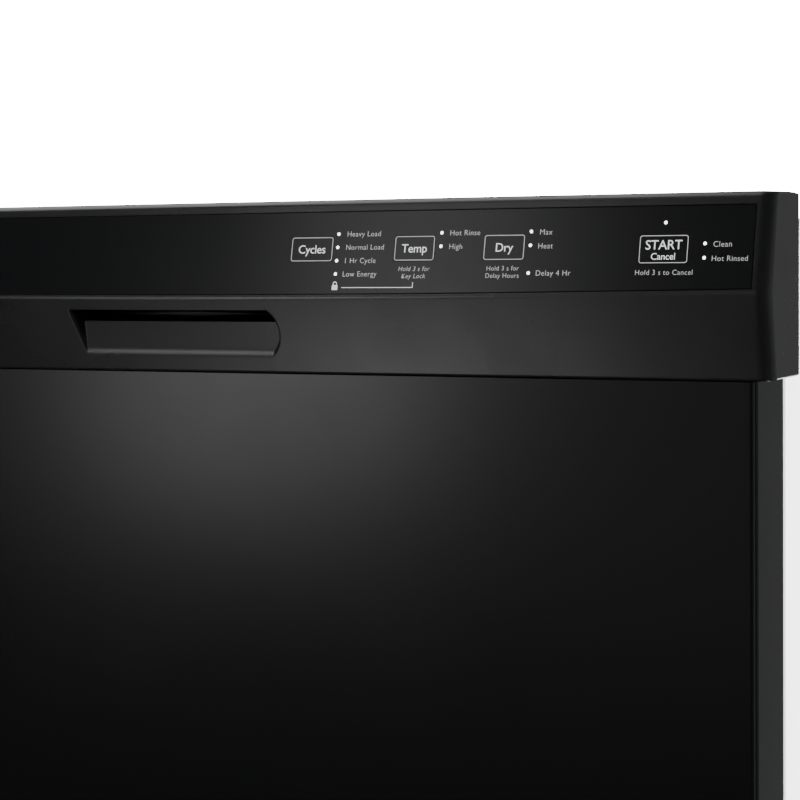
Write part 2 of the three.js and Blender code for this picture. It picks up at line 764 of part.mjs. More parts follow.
// Channel on the tub's side wall that the upper rack's track slides in.
function rackGuide(side) {
  const wallX = side * (tubInnerHalf - gap);
  const innerX = side * (tubInnerHalf - gap - 3);
  const lipX = side * (tubInnerHalf - gap - 3 - trackWidth - 2);
  const y0 = tubFrontY + 30;
  const y1 = tubFrontY + 330;
  const low = Math.min(wallX, lipX);
  const high = Math.max(wallX, lipX);
  const bodyBox = box([low, y0, guideZ - guideHalfHeight - 3], [high, y1, guideZ + guideHalfHeight + 3]);
  const slot = box(
    [Math.min(innerX, lipX * 0.9), y0 - 1, guideZ - guideHalfHeight],
    [Math.max(innerX, lipX * 0.9), y1 + 1, guideZ + guideHalfHeight],
  );
  return cut(bodyBox, slot);
}

machine.add(piece('tub', tubBody(), greyPlastic));
machine.add(piece('tub_gasket', tubGasket(), rubber));
machine.add(piece('insulation_blanket', insulationBlanket(), blanketFelt));
machine.add(piece('rack_guide_left', rackGuide(-1), whitePlastic));
machine.add(piece('rack_guide_right', rackGuide(1), whitePlastic));

// ---- Base frame ---------------------------------------------------------------------------

const toeY = front + toeSetback;
const railFrontY = toeY + 4;
const railBackY = back;
const railX = halfWidth - railInset;
const bracketFootZ = tubTopZ + 3;
const bracketX = halfWidth - 113;

function baseRail(side) {
  const outerX = side * railX;
  const webX = side * (railX - railThickness);
  const flangeX = side * (railX - railFlange);
  const span = (a, b, z0, z1) => box([Math.min(a, b), railFrontY, z0], [Math.max(a, b), railBackY, z1]);
  const web = span(outerX, webX, footHeight, railTopZ);
  const foot = span(outerX, flangeX, footHeight, footHeight + railThickness);
  const top = box(
    [Math.min(outerX, flangeX), hingeY + 100, railTopZ - railThickness],
    [Math.max(outerX, flangeX), railBackY, railTopZ],
  );
  const post = box(
    [Math.min(outerX, webX), hingeY + 100, railTopZ - 1],
    [Math.max(outerX, webX), hingeY + 134, tubFootZ + 90],
  );
  return join(web, foot, top, post);
}

function crossBar() {
  const inner = railX - railThickness - gap;
  const y0 = toeY + 8;
  const web = box([-inner, y0, footHeight + railThickness + gap], [inner, y0 + 3, footHeight + 40]);
  const shelf = box(
    [-inner, y0, footHeight + railThickness + gap],
    [inner, y0 + 30, footHeight + 2 * railThickness + gap],
  );
  return join(web, shelf);
}

function levelingFoot() {
  return turned([
    [0, 0], [footRadius, 0], [footRadius, 5], [footRadius - 5, 9], [studRadius, 9],
    [studRadius, footHeight - gap], [0, footHeight - gap],
  ], [0, 0, 0], 16);
}

function toePanel() {
  const half = halfWidth - 8;
  const y0 = toeY;
  const plate = box([-half, y0, toeFootZ], [half, y0 + 2, toeTopZ]);
  const lipHalf = hingePlateX - 4;
  const lip = box([-lipHalf, y0, toeTopZ - 2], [lipHalf, y0 + 14, toeTopZ]);
  return join(plate, lip);
}

// Tab behind the tub's lip that is screwed to the underside of the worktop.
function mountingBracket() {
  const tabHalf = 14;
  const upright = box([-tabHalf, 0, bracketFootZ], [tabHalf, 1.5, height]);
  const tab = box([-tabHalf, 0, height - 1.5], [tabHalf, 34, height]);
  const screwHole = rod('z', 2.6, 6, [0, 26, height - 4], 12);
  return cut(join(upright, tab), screwHole);
}

for (const [label, side] of [['left', -1], ['right', 1]]) {
  machine.add(piece(`base_rail_${label}`, baseRail(side), zinc));
  const bracket = piece(`mounting_bracket_${label}`, mountingBracket(), steel);
  bracket.position.set(side * bracketX, tubFrontY + tubLipThickness + gap, 0);
  machine.add(bracket);
  for (const [end, y] of [['front', railFrontY + 24], ['rear', railBackY - 40]]) {
    const foot = piece(`foot_${end}_${label}`, levelingFoot(), darkPlastic);
    foot.position.set(side * (railX - railFlange / 2 - 2), y, 0);
    machine.add(foot);
  }
}
machine.add(piece('front_crossbar', crossBar(), zinc));
machine.add(piece('toe_panel', toePanel(), black));

// ---- Water system ---------------------------------------------------------------------------

const sumpTopZ = tubFootZ - gap;
const sumpFootZ = sumpTopZ - sumpDepth;
const pumpZ = sumpFootZ + 24;

// Funnel under the tub; its filter well is open at the top.
function sump() {
  const wall = 4;
  const bowl = turned([
    [0, 0], [50, 0], [sumpRadius - 14, sumpDepth - 16], [sumpRadius, sumpDepth - 5], [sumpRadius, sumpDepth],
    [sumpRadius - 14, sumpDepth], [sumpRadius - 14 - wall, sumpDepth - 12], [50 - wall, wall], [0, wall],
  ], [0, sumpY, sumpFootZ], 24);
  const outlet = rod('x', 18, 40, [-sumpRadius - 3, sumpY, pumpZ], 14);
  return join(bowl, cut(outlet, turned([[0, wall / 2], [50 - wall / 2, wall / 2],
    [sumpRadius - 14 - wall / 2, sumpDepth - 12], [0, sumpDepth - 12]], [0, sumpY, sumpFootZ], 24)));
}

function washPump() {
  const x = -sumpRadius - 3 - gap;
  const volute = rod('x', pumpRadius, 34, [x - 34, sumpY, pumpZ], 18);
  const motor = rod('x', pumpRadius - 8, 90, [x - 34 - 89, sumpY, pumpZ], 18);
  return join(volute, motor);
}

function drainPump() {
  const x = 60;
  const bodyY = sumpY + 96;
  const volute = rod('y', 26, 24, [x, bodyY, pumpZ], 16);
  const motor = box([x - 22, bodyY + 20, pumpZ - 22], [x + 22, bodyY + 74, pumpZ + 22]);
  const outlet = rod('x', 10, 60, [x, bodyY + 12, pumpZ], 12);
  return join(volute, motor, outlet);
}

function inletValve() {
  const x = -railX + 68;
  const y = tubFrontY + 95;
  const z = footHeight + 50;
  const block = box([x - 20, y, z - 18], [x + 20, y + 40, z + 18]);
  const coil = rod('z', 16, 34, [x, y + 20, z + 10], 14);
  const port = rod('y', 10, 24, [x, y - 22, z], 12);
  return cut(join(block, coil, port), rod('y', 7, 20, [x, y - 24, z], 12));
}

// Wiring box with a cable entry in its side.
function junctionBox() {
  const x = railX - 83;
  const y = tubFrontY + 70;
  const z = footHeight + 14;
  const outer = box([x - 32, y, z], [x + 32, y + 60, z + 62]);
  const entry = rod('y', 11, 10, [x, y - 1, z + 31], 14);
  return cut(outer, entry);
}

function heatingElement() {
  const z = tubFloorZ + 16;
  const halfX = 150;
  const y0 = sumpY - 150;
  const y1 = tubBackY - tubWall - 80;
  return tube([
    [-30, tubBackY - tubWall - gap, z], [-34, y1 + 20, z], [-110, y1, z],
    [-halfX + 15, y1 - 15, z], [-halfX, y1 - 100, z],
    [-halfX, y0 + 100, z], [-halfX + 15, y0 + 15, z], [-100, y0, z], [100, y0, z], [halfX - 15, y0 + 15, z],
    [halfX, y0 + 100, z], [halfX, y1 - 100, z], [halfX - 15, y1 - 15, z], [110, y1, z], [34, y1 + 20, z],
    [30, tubBackY - tubWall - gap, z],
  ], 4, 46, 6);
}

const filterCupRadius = 32;
const screenRadius = sumpRadius - 4;

function filterScreen() {
  const z = tubFloorZ + gap;
  return turned([
    [filterCupRadius + 1, 0], [screenRadius, 0], [screenRadius, 2.5],
    [filterCupRadius + 1, 2.5], [filterCupRadius + 1, 0],
  ], [0, sumpY, z], 28);
}

function filterCup() {
  const z = tubFloorZ + gap;
  const radius = filterCupRadius;
  const cup = turned([
    [0, -34], [radius - 4, -34], [radius, 0], [radius, 5], [radius - 4, 5], [radius - 8, -30], [0, -30],
  ], [0, sumpY, z], 24);
  return cup;
}

function floatDome() {
  return turned([
    [5 + gap, 0], [floatRadius, 0], [floatRadius, 10], [floatRadius - 8, 28], [12, 34], [0, 34],
    [0, 30], [5 + gap, 30], [5 + gap, 0],
  ], [floatX, floatY, tubFloorZ + gap], 20);
}

// Pipe up the back wall to the upper arm's dock, with a nozzle over the racks.
function waterFeedTube() {
  const y = tubBackY - tubWall - feedTubeRadius - 2;
  const z = tubTopZ - tubWall - feedTubeRadius - 2;
  return tube([
    [0, y, tubFloorZ + 12], [0, y, tubTopZ / 2], [0, y, z - 60], [0, y, z - 22], [0, y - 7, z - 6],
    [0, y - 24, z], [0, y - 60, z], [0, tubMiddleY, z],
  ], feedTubeRadius, 60, 8);
}

function sprayArm(z, hubFoot, hubTop) {
  const half = armLength / 2;
  const tip = armWidth * 0.22;
  const shape = new THREE.Shape();
  shape.moveTo(-half, -tip);
  shape.quadraticCurveTo(-half / 2, -armWidth / 2, 0, -armWidth / 2);
  shape.quadraticCurveTo(half / 2, -armWidth / 2, half, -tip);
  shape.quadraticCurveTo(half + 10, 0, half, tip);
  shape.quadraticCurveTo(half / 2, armWidth / 2, 0, armWidth / 2);
  shape.quadraticCurveTo(-half / 2, armWidth / 2, -half, tip);
  shape.quadraticCurveTo(-half - 10, 0, -half, -tip);
  const hub = turned([[0, hubFoot], [hubRadius, hubFoot], [hubRadius, hubTop], [0, hubTop]], [0, 0, 0], 16);
  return join(slabZ(shape, z, z + armThickness, 3), hub);
}

machine.add(piece('sump', sump(), darkPlastic));
machine.add(piece('wash_pump', washPump(), darkPlastic));
machine.add(piece('drain_pump', drainPump(), whitePlastic));
machine.add(piece('inlet_valve', inletValve(), whitePlastic));
machine.add(piece('junction_box', junctionBox(), zinc));
machine.add(piece('heating_element', heatingElement(), zinc));
machine.add(piece('filter_screen', filterScreen(), steel));
machine.add(piece('filter_cup', filterCup(), darkPlastic));
machine.add(piece('float_dome', floatDome(), whitePlastic));
machine.add(piece('water_feed_tube', waterFeedTube(), greyPlastic));

const lowerArmBody = sprayArm(lowerArmZ, tubFloorZ + 8, lowerArmZ + armThickness + 4);
const lowerArm = piece('lower_spray_arm', lowerArmBody, darkPlastic);
lowerArm.position.set(0, sumpY, 0);
machine.add(lowerArm);
const upperArm = piece('upper_spray_arm', sprayArm(upperArmZ, upperArmZ - 4, upperRackZ - gap), darkPlastic);
upperArm.position.set(0, rackMiddleY, 0);
machine.add(upperArm);

// ---- Racks ----------------------------------------------------------------------------------

// Open-topped basket: a floor and four closed walls, where the real rack has bent wires.
function rack(z0, tall, backMargin) {
  const half = rackWidth / 2;
  const y1 = rackBackY - backMargin;
  const outer = box([-half, rackFrontY, z0], [half, y1, z0 + tall]);
  const inner = box(
    [-half + rackWall, rackFrontY + rackWall, z0 + rackWall],
    [half - rackWall, y1 - rackWall, z0 + tall + 1],
  );
  return cut(outer, inner);
}

const wheelX = rackWidth / 2 + 3 + wheelWidth;
const wheelZ = tubFloorZ + wheelLedge + wheelRadius;
const wheelPlaces = [['front', rackFrontY + 60], ['rear', rackBackY - 80]];
const axleRadius = 4;

function lowerRack() {
  const arms = [];
  for (const side of [-1, 1]) {
    for (const [, y] of wheelPlaces) {
      const x0 = side * (rackWidth / 2 - 12);
      const x1 = side * (rackWidth / 2 - 4);
      arms.push(box([Math.min(x0, x1), y - 8, wheelZ - 8], [Math.max(x0, x1), y + 8, lowerRackZ + 20]));
      const start = side > 0 ? rackWidth / 2 - 6 : -wheelX - 2;
      arms.push(rod('x', axleRadius, wheelX + 2 - rackWidth / 2 + 6, [start, y, wheelZ], 10));
    }
  }
  return join(rack(lowerRackZ, lowerRackHeight, 0), ...arms);
}

function wheel() {
  const ring = turned([
    [axleRadius + gap, -wheelWidth / 2], [wheelRadius, -wheelWidth / 2], [wheelRadius, wheelWidth / 2],
    [axleRadius + gap, wheelWidth / 2], [axleRadius + gap, -wheelWidth / 2],
  ], [0, 0, 0], 20);
  return ring;
}

const trackX = tubInnerHalf - gap - 3 - trackWidth / 2 - 0.6;

// Bar on each side of the upper rack that runs in the tub's guide.
function upperTrack(side) {
  const outerX = side * (trackX + trackWidth / 2 - 0.5);
  const innerX = side * (trackX - trackWidth / 2);
  const wallX = side * (rackWidth / 2 + gap);
  const bar = box(
    [Math.min(outerX, innerX), rackFrontY + 10, guideZ - trackHeight / 2],
    [Math.max(outerX, innerX), rackBackY - 20, guideZ + trackHeight / 2],
  );
  const arms = [rackFrontY + 20, rackBackY - 60].map((y) => box(
    [Math.min(outerX, wallX), y, guideZ - 5], [Math.max(outerX, wallX), y + 20, guideZ + 5]));
  return join(bar, ...arms);
}

const basketFrontY = rackFrontY + rackWall + 12;
const basketHeight = 120;
const basketHalf = rackWidth / 2 - 75;

// Cutlery basket: four open cells side by side.
function silverwareBasket() {
  const x0 = -basketHalf;
  const x1 = basketHalf;
  const y1 = basketFrontY + 70;
  const z0 = lowerRackZ + rackWall + gap;
  const outer = box([x0, basketFrontY, z0], [x1, y1, z0 + basketHeight]);
  const cells = [0, 1, 2, 3].map((cell) => {
    const cellWidth = (x1 - x0 - 3) / 4;
    const left = x0 + 3 + cell * cellWidth;
    return box([left, basketFrontY + 3, z0 + 3], [left + cellWidth - 3, y1 - 3, z0 + basketHeight + 1]);
  });
  return cut(outer, ...cells);
}

machine.add(piece('lower_rack', lowerRack(), coatedWire));
machine.add(piece('silverware_basket', silverwareBasket(), greyPlastic));
machine.add(piece('upper_rack', rack(upperRackZ, upperRackHeight, 30), coatedWire));
for (const [label, side] of [['left', -1], ['right', 1]]) {
  machine.add(piece(`upper_track_${label}`, upperTrack(side), steel));
  for (const [end, y] of wheelPlaces) {
    const roller = piece(`wheel_${end}_${label}`, wheel(), greyPlastic);
    roller.position.set(side * (rackWidth / 2 + 3 + wheelWidth / 2), y, wheelZ);
    roller.rotation.y = Math.PI / 2;
    machine.add(roller);
  }
}

export default machine;
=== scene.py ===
import json
import math

import bmesh
import bpy
from mathutils import Matrix, Vector


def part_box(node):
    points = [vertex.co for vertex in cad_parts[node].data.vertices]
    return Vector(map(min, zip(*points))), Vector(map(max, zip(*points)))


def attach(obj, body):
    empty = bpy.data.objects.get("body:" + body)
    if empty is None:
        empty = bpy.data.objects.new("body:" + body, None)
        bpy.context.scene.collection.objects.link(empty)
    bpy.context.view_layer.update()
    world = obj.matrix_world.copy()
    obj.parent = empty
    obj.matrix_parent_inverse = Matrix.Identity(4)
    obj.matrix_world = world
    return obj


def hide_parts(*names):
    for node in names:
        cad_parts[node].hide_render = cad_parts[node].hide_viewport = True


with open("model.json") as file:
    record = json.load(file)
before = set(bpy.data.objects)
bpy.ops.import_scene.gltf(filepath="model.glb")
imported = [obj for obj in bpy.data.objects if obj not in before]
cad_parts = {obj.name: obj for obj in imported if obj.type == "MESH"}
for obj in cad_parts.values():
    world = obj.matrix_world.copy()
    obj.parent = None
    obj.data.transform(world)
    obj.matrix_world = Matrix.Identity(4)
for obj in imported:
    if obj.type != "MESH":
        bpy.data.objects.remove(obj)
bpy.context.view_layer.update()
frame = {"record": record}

# Built-in dishwasher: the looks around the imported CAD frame. Sizes are written in millimetres and
# turned into metres where a mesh is made. Lights and the camera are placed in metres.

MM = 0.001


# ---- Mesh helpers ---------------------------------------------------------------------


def mesh_object(name, vertices, faces, smooth_angle=30.0):
    """Object from lists in millimetres; edges sharper than the angle stay crisp."""
    mesh = bpy.data.meshes.new(name)
    mesh.from_pydata([tuple(c * MM for c in v) for v in vertices], [], faces)
    return link_mesh(name, mesh, smooth_angle)


def shade(mesh, smooth_angle):
    """Smooth faces, with the edges sharper than the angle kept crisp."""
    bm = bmesh.new()
    bm.from_mesh(mesh)
    bmesh.ops.recalc_face_normals(bm, faces=bm.faces)
    for face in bm.faces:
        face.smooth = True
    limit = math.radians(smooth_angle)
    for edge in bm.edges:
        edge.smooth = len(edge.link_faces) == 2 and edge.calc_face_angle(0.0) < limit
    bm.to_mesh(mesh)
    bm.free()


def link_mesh(name, mesh, smooth_angle=30.0):
    shade(mesh, smooth_angle)
    obj = bpy.data.objects.new(name, mesh)
    bpy.context.scene.collection.objects.link(obj)
    return obj


def dress(obj, material, body, slot, *nodes):
    """Give a piece its material and its body, and hide the CAD nodes that it stands for; the slot argument
    is not used.
    """
    obj.data.materials.clear()
    obj.data.materials.append(material)
    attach(obj, body)
    if nodes:
        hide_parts(*nodes)
    return obj


def apply_modifiers(obj):
    graph = bpy.context.evaluated_depsgraph_get()
    mesh = bpy.data.meshes.new_from_object(obj.evaluated_get(graph))
    obj.modifiers.clear()
    obj.data = mesh
    return obj


def even_normals(obj):
    """Let the large flat faces lead the shading, so that rounded edges don't darken them."""
    modifier = obj.modifiers.new("normals", "WEIGHTED_NORMAL")
    modifier.keep_sharp = True
    modifier.weight = 90
    return apply_modifiers(obj)


def joined(name, parts, smooth_angle=30.0):
    """One object out of several, with each part's shape as it stands."""
    bm = bmesh.new()
    for part in parts:
        copy = part.data.copy()
        copy.transform(part.matrix_world)
        bm.from_mesh(copy)
        bpy.data.meshes.remove(copy)
        bpy.data.objects.remove(part)
    mesh = bpy.data.meshes.new(name)
    bm.to_mesh(mesh)
    bm.free()
    return link_mesh(name, mesh, smooth_angle)


def bevelled(obj, width, segments=2, angle=40.0):
    modifier = obj.modifiers.new("edges", "BEVEL")
    modifier.width = width * MM
    modifier.segments = segments
    modifier.limit_method = "ANGLE"
    modifier.angle_limit = math.radians(angle)
    apply_modifiers(obj)
    shade(obj.data, 35.0)
    return obj


def prism(name, outline, low, high, axis="z"):
    """Closed prism over an outline of (a, b) pairs, between two heights along an axis."""
    place = {
        "x": lambda a, b, height: (height, a, b),
        "y": lambda a, b, height: (a, height, b),
        "z": lambda a, b, height: (a, b, height),
    }[axis]
    count = len(outline)
    vertices = [place(a, b, low) for a, b in outline] + [place(a, b, high) for a, b in outline]
    faces = [(i, (i + 1) % count, count + (i + 1) % count, count + i) for i in range(count)]
    faces += [tuple(range(count))[::-1], tuple(range(count, 2 * count))]
    return mesh_object(name, vertices, faces)


def rounded_rectangle(left, foot, right, top, radius):
    steps = 6
    points = []
    corners = ((right, foot, -90), (right, top, 0), (left, top, 90), (left, foot, 180))
    for x, z, start in corners:
        cx = x - radius if x == right else x + radius
        cz = z - radius if z == top else z + radius
        for step in range(steps + 1):
            angle = math.radians(start + 90 * step / steps)
            points.append((cx + radius * math.cos(angle), cz + radius * math.sin(angle)))
    return points


def loft(name, rings, closed_ends=True, smooth_angle=30.0):
    """Surface through rings of equal length; each ring is a closed loop of points."""
    count = len(rings[0])
    vertices = [point for ring in rings for point in ring]
    faces = []
    for ring in range(len(rings) - 1):
        for i in range(count):
            j = (i + 1) % count
            here = ring * count
            faces.append((here + i, here + j, here + count + j, here + count + i))
    if closed_ends:
        last = (len(rings) - 1) * count
        faces.append(tuple(range(count))[::-1])
        faces.append(tuple(range(last, last + count)))
    return mesh_object(name, vertices, faces, smooth_angle)


# ---- Materials --------------------------------------------------------------------------


def new_material(name):
    material = bpy.data.materials.new(name)
    material.use_nodes = True
    nodes = material.node_tree.nodes
    return material, nodes, material.node_tree.links, nodes["Principled BSDF"]


def add_noise(nodes, links, scale, detail=3.0, stretch=(1, 1, 1)):
    coords = nodes.new("ShaderNodeTexCoord")
    mapping = nodes.new("ShaderNodeMapping")
    mapping.inputs["Scale"].default_value = stretch
    noise = nodes.new("ShaderNodeTexNoise")
    noise.inputs["Scale"].default_value = scale
    noise.inputs["Detail"].default_value = detail
    links.new(coords.outputs["Object"], mapping.inputs["Vector"])
    links.new(mapping.outputs["Vector"], noise.inputs["Vector"])
    return noise


def ramp_between(nodes, links, source, low, high):
    """Map a 0 to 1 value onto the range low to high."""
    spread = nodes.new("ShaderNodeMapRange")
    spread.inputs["From Min"].default_value = 0.3
    spread.inputs["From Max"].default_value = 0.7
    spread.inputs["To Min"].default_value = low
    spread.inputs["To Max"].default_value = high
    links.new(source, spread.inputs["Value"])
    return spread.outputs["Result"]


def mottle(nodes, links, shader, noise, color, darker):
    """Base colour that wanders between a colour and a darker tone of it."""
    mix = nodes.new("ShaderNodeMix")
    mix.data_type = "RGBA"
    mix.inputs["A"].default_value = (*color, 1)
    mix.inputs["B"].default_value = (*(c * darker for c in color), 1)
    links.new(noise.outputs["Fac"], mix.inputs["Factor"])
    links.new(mix.outputs["Result"], shader.inputs["Base Color"])


def raise_grain(nodes, links, shader, noise, strength, height):
    bump = nodes.new("ShaderNodeBump")
    bump.inputs["Strength"].default_value = strength
    bump.inputs["Distance"].default_value = height
    links.new(noise.outputs["Fac"], bump.inputs["Height"])
    links.new(bump.outputs["Normal"], shader.inputs["Normal"])


def plastic(name, color, roughness, grain=0.0, grain_scale=2500.0, spread=0.04, specular=0.5):
    """Moulded plastic: slight colour and gloss variation, with a fine moulded grain."""
    material, nodes, links, shader = new_material(name)
    shader.inputs["Specular IOR Level"].default_value = specular
    broad = add_noise(nodes, links, 14.0)
    links.new(ramp_between(nodes, links, broad.outputs["Fac"], roughness - spread, roughness + spread),
              shader.inputs["Roughness"])
    mottle(nodes, links, shader, broad, color, 0.88)
    if grain:
        fine = add_noise(nodes, links, grain_scale, 2.0)
        raise_grain(nodes, links, shader, fine, grain, 0.00005)
    return material


def metal(name, color, roughness, brush=(1, 1, 1), scale=400.0):
    """Bare or plated metal with fine directional marks."""
    material, nodes, links, shader = new_material(name)
    shader.inputs["Metallic"].default_value = 1.0
    streaks = add_noise(nodes, links, scale, 4.0, brush)
    links.new(ramp_between(nodes, links, streaks.outputs["Fac"], roughness - 0.06, roughness + 0.08),
              shader.inputs["Roughness"])
    mottle(nodes, links, shader, add_noise(nodes, links, 9.0), color, 0.8)
    raise_grain(nodes, links, shader, streaks, 0.15, 0.00004)
    return material


def lamp_or_painted_glow(name, color, strength):
    """Lens that shows light of its own, or print with a painted glow: emission that makes it read bright
    though it is no lamp.
    """
    material, nodes, links, shader = new_material(name)
    shader.inputs["Base Color"].default_value = (*color, 1)
    shader.inputs["Roughness"].default_value = 0.4
    glow = add_noise(nodes, links, 900.0)
    links.new(ramp_between(nodes, links, glow.outputs["Fac"], strength * 0.95, strength),
              shader.inputs["Emission Strength"])
    shader.inputs["Emission Color"].default_value = (*color, 1)
    return material


CONSOLE = plastic("console_satin_black", (0.0022, 0.0023, 0.0026), 0.28, grain=0.05, specular=0.95)
OVERLAY = plastic("overlay_gloss_black", (0.0020, 0.0022, 0.0026), 0.22, spread=0.01, specular=0.5)
PANEL = plastic("door_enamel_black", (0.0011, 0.0012, 0.0014), 0.235, grain=0.02, grain_scale=1200.0,
                spread=0.012)
# The two print materials are a painted glow: emission that lifts the white and grey print, which gives no
# light of its own. The lamp material below is the real indicator lamps.
PRINT_GLOW = lamp_or_painted_glow("printed_white_painted_glow", (0.58, 0.58, 0.59), 0.66)
PRINT_DIM_GLOW = lamp_or_painted_glow("printed_grey_painted_glow", (0.36, 0.36, 0.37), 0.42)
LIGHT = lamp_or_painted_glow("lamp_white", (1.0, 1.0, 1.0), 4.0)
GREY = plastic("tub_grey", (0.36, 0.375, 0.39), 0.42, grain=0.08, grain_scale=1500.0)
DARK = plastic("fitting_dark_grey", (0.045, 0.048, 0.055), 0.46, grain=0.12, grain_scale=1600.0)
WHITE = plastic("fitting_white", (0.72, 0.72, 0.69), 0.42, grain=0.05)
COATED = plastic("wire_coating", (0.27, 0.29, 0.31), 0.33, spread=0.05)
SEAL = plastic("seal_rubber", (0.07, 0.07, 0.075), 0.68, grain=0.3, grain_scale=900.0)
BOARD = plastic("circuit_green", (0.02, 0.13, 0.05), 0.4, grain=0.2, grain_scale=700.0)
STEEL = metal("stainless", (0.60, 0.61, 0.62), 0.26, (1, 12, 12))
ZINC = metal("zinc_plate", (0.46, 0.47, 0.48), 0.38, (1, 1, 1), scale=60.0)
HEATER = metal("heater_sheath", (0.20, 0.19, 0.18), 0.48, (1, 1, 1), scale=120.0)


def felt(name, color):
    """Matted fibres with a soft sheen."""
    material, nodes, links, shader = new_material(name)
    shader.inputs["Roughness"].default_value = 0.95
    shader.inputs["Sheen Weight"].default_value = 0.3
    fibres = add_noise(nodes, links, 260.0, 8.0, (1, 1, 3))
    mottle(nodes, links, shader, add_noise(nodes, links, 12.0, 2.0), color, 0.86)
    raise_grain(nodes, links, shader, fibres, 0.5, 0.0006)
    return material


FELT = felt("blanket_felt", (0.93, 0.925, 0.91))

# ---- Console: shared sizes --------------------------------------------------------------

console_low, console_high = (tuple(c / MM for c in corner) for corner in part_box("console_housing"))
HALF = console_high[0]
FRONT = console_low[1]
BACK = console_high[1]
FOOT = console_low[2]
TOP = console_high[2]
LEAN = math.radians(12.2)
RIDGE = FOOT + 36.7
RIDGE_BOW = 2.7
SETBACK = 7.0
OVERLAY_END = HALF - 8.0
OVERLAY_FOOT = 1.6
OVERLAY_TOP = 41.5
SEAT_DEPTH = 1.0
SEAT_GAP = 0.28


def ridge_lift(x):
    return RIDGE_BOW * (x / HALF) ** 2


FACE = Matrix.Translation((0, FRONT * MM, RIDGE * MM)) @ Matrix.Rotation(-LEAN, 4, "X")


def on_face(obj):
    """Move a piece drawn on the leaning face (X across, Y inwards, Z up the face) into place."""
    obj.data.transform(FACE)
    return obj


def arc_points(corner, before, after, radius, steps):
    """Points of the arc that rounds the corner between two directions."""
    a = (Vector(before) - Vector(corner)).normalized()
    b = (Vector(after) - Vector(corner)).normalized()
    half = a.angle(b) / 2
    reach = radius / math.tan(half)
    start = Vector(corner) + a * reach
    end = Vector(corner) + b * reach
    centre = Vector(corner) + (a + b).normalized() * (radius / math.sin(half))
    turn = (start - centre).angle_signed(end - centre)
    points = []
    for step in range(steps + 1):
        spoke = (start - centre).copy()
        spoke.rotate(Matrix.Rotation(-turn * step / steps, 2))
        points.append(tuple(centre + spoke))
    return points


LOWER_STEPS = 64
UPPER_MARKS_LOW = (0.35, 0.8, 1.15, 1.28, 1.34, 1.8, 2.6, 4.0)
UPPER_MARKS_HIGH = (34.0, 38.0, 40.6, 41.2, 41.76, 41.82, 41.95, 42.4, 42.9)


def console_section(x):
    """Section of the console at x: (y, z) points from the back of its foot to the back of its top."""
    lift = ridge_lift(x)
    slope = math.tan(LEAN)
    ridge = (FRONT + lift * slope, RIDGE + lift)
    foot = (FRONT + SETBACK, FOOT)
    top = (FRONT + (TOP - RIDGE) * slope, TOP)
    foot_arc = arc_points(foot, (BACK, FOOT), ridge, 1.6, 5)
    ridge_arc = arc_points(ridge, foot, top, 6.0, 8)
    top_arc = arc_points(top, ridge, (BACK, TOP), 3.6, 10)
    points = [(BACK, FOOT), (BACK - 12, FOOT), *foot_arc]
    start, end = Vector(foot_arc[-1]), Vector(ridge_arc[0])
    points += [tuple(start.lerp(end, step / LOWER_STEPS)) for step in range(1, LOWER_STEPS)]
    points += ridge_arc
    marks = [lift + mark for mark in UPPER_MARKS_LOW]
    middle = [10, 16, 22, 28]
    for rise in (*marks, *middle, *UPPER_MARKS_HIGH):
        y, z = FRONT + rise * math.sin(LEAN), RIDGE + rise * math.cos(LEAN)
        if z > ridge_arc[-1][1] + 0.02 and z < top_arc[0][1] - 0.02:
            points.append((y, z))
        else:
            points.append(ridge_arc[-1] if z <= ridge_arc[-1][1] + 0.02 else top_arc[0])
    points += [*top_arc, (BACK - 12, TOP), (BACK, TOP)]
    return points


# Pocket handle: a straight slanted left end, a round right end, a sharp brow and a soft sill.
POCKET_BROW = RIDGE - 6.6
POCKET_SILL = FOOT + 9.8
POCKET_LEFT_TOP = -62.8
POCKET_LEFT_FOOT = -55.0
POCKET_RIGHT = 57.8
POCKET_END_RADIUS = 13.0
POCKET_DEPTH = 20.0
SILL_ROUND = 2.5
SILL_SLOPE = 0.38


def pocket_reach(x, z):
    """Distances into the pocket from its brow, sill, left end and right end; negative outside."""
    tall = POCKET_BROW - POCKET_SILL
    from_brow = POCKET_BROW - z
    from_sill = z - POCKET_SILL
    slant = (POCKET_LEFT_FOOT - POCKET_LEFT_TOP) / tall
    from_left = (x - POCKET_LEFT_TOP - slant * from_brow) / math.hypot(1, slant)
    centre_x = POCKET_RIGHT - POCKET_END_RADIUS
    centre_z = (POCKET_BROW + POCKET_SILL) / 2 - 0.8
    from_right = POCKET_END_RADIUS - math.hypot(max(0.0, x - centre_x), (z - centre_z))
    if x < centre_x:
        from_right = 40.0
    return from_brow, from_sill, from_left, from_right


def ease(value, low, high):
    share = min(1.0, max(0.0, (value - low) / (high - low)))
    return share * share * (3 - 2 * share)


def wall(distance, width, lip):
    """Share of the full depth at a distance inside a wall whose rim is rounded by `lip`."""
    if distance <= -lip:
        return 0.0
    run = (distance + lip) / (width + lip)
    return 1.0 if run >= 1 else (1 - math.cos(math.pi * min(1.0, run))) / 2


def scoop(from_sill):
    """Rounded sill, then a straight slope, then the deep slot for the fingers behind the brow."""
    run = max(0.0, from_sill + SILL_ROUND)
    straight = run - SILL_ROUND if run > 2 * SILL_ROUND else run * run / (4 * SILL_ROUND)
    slot = 12.5 * ease(from_sill, 15.0, 19.0)
    return SILL_SLOPE * straight + slot


def pocket_depth(x, z):
    from_brow, from_sill, from_left, from_right = pocket_reach(x, z)
    walls = min(wall(from_brow, 1.2, 0.5), wall(from_left, 7.0, 0.5), wall(from_right, 5.0, 0.5))
    return min(scoop(from_sill), POCKET_DEPTH * walls)


def seat_depth(x, z):
    rise = (z - RIDGE) / math.cos(LEAN)
    low = OVERLAY_FOOT - SEAT_GAP + ridge_lift(x)
    inside = low < rise < OVERLAY_TOP + SEAT_GAP and abs(x) < OVERLAY_END + SEAT_GAP
    return SEAT_DEPTH if inside else 0.0


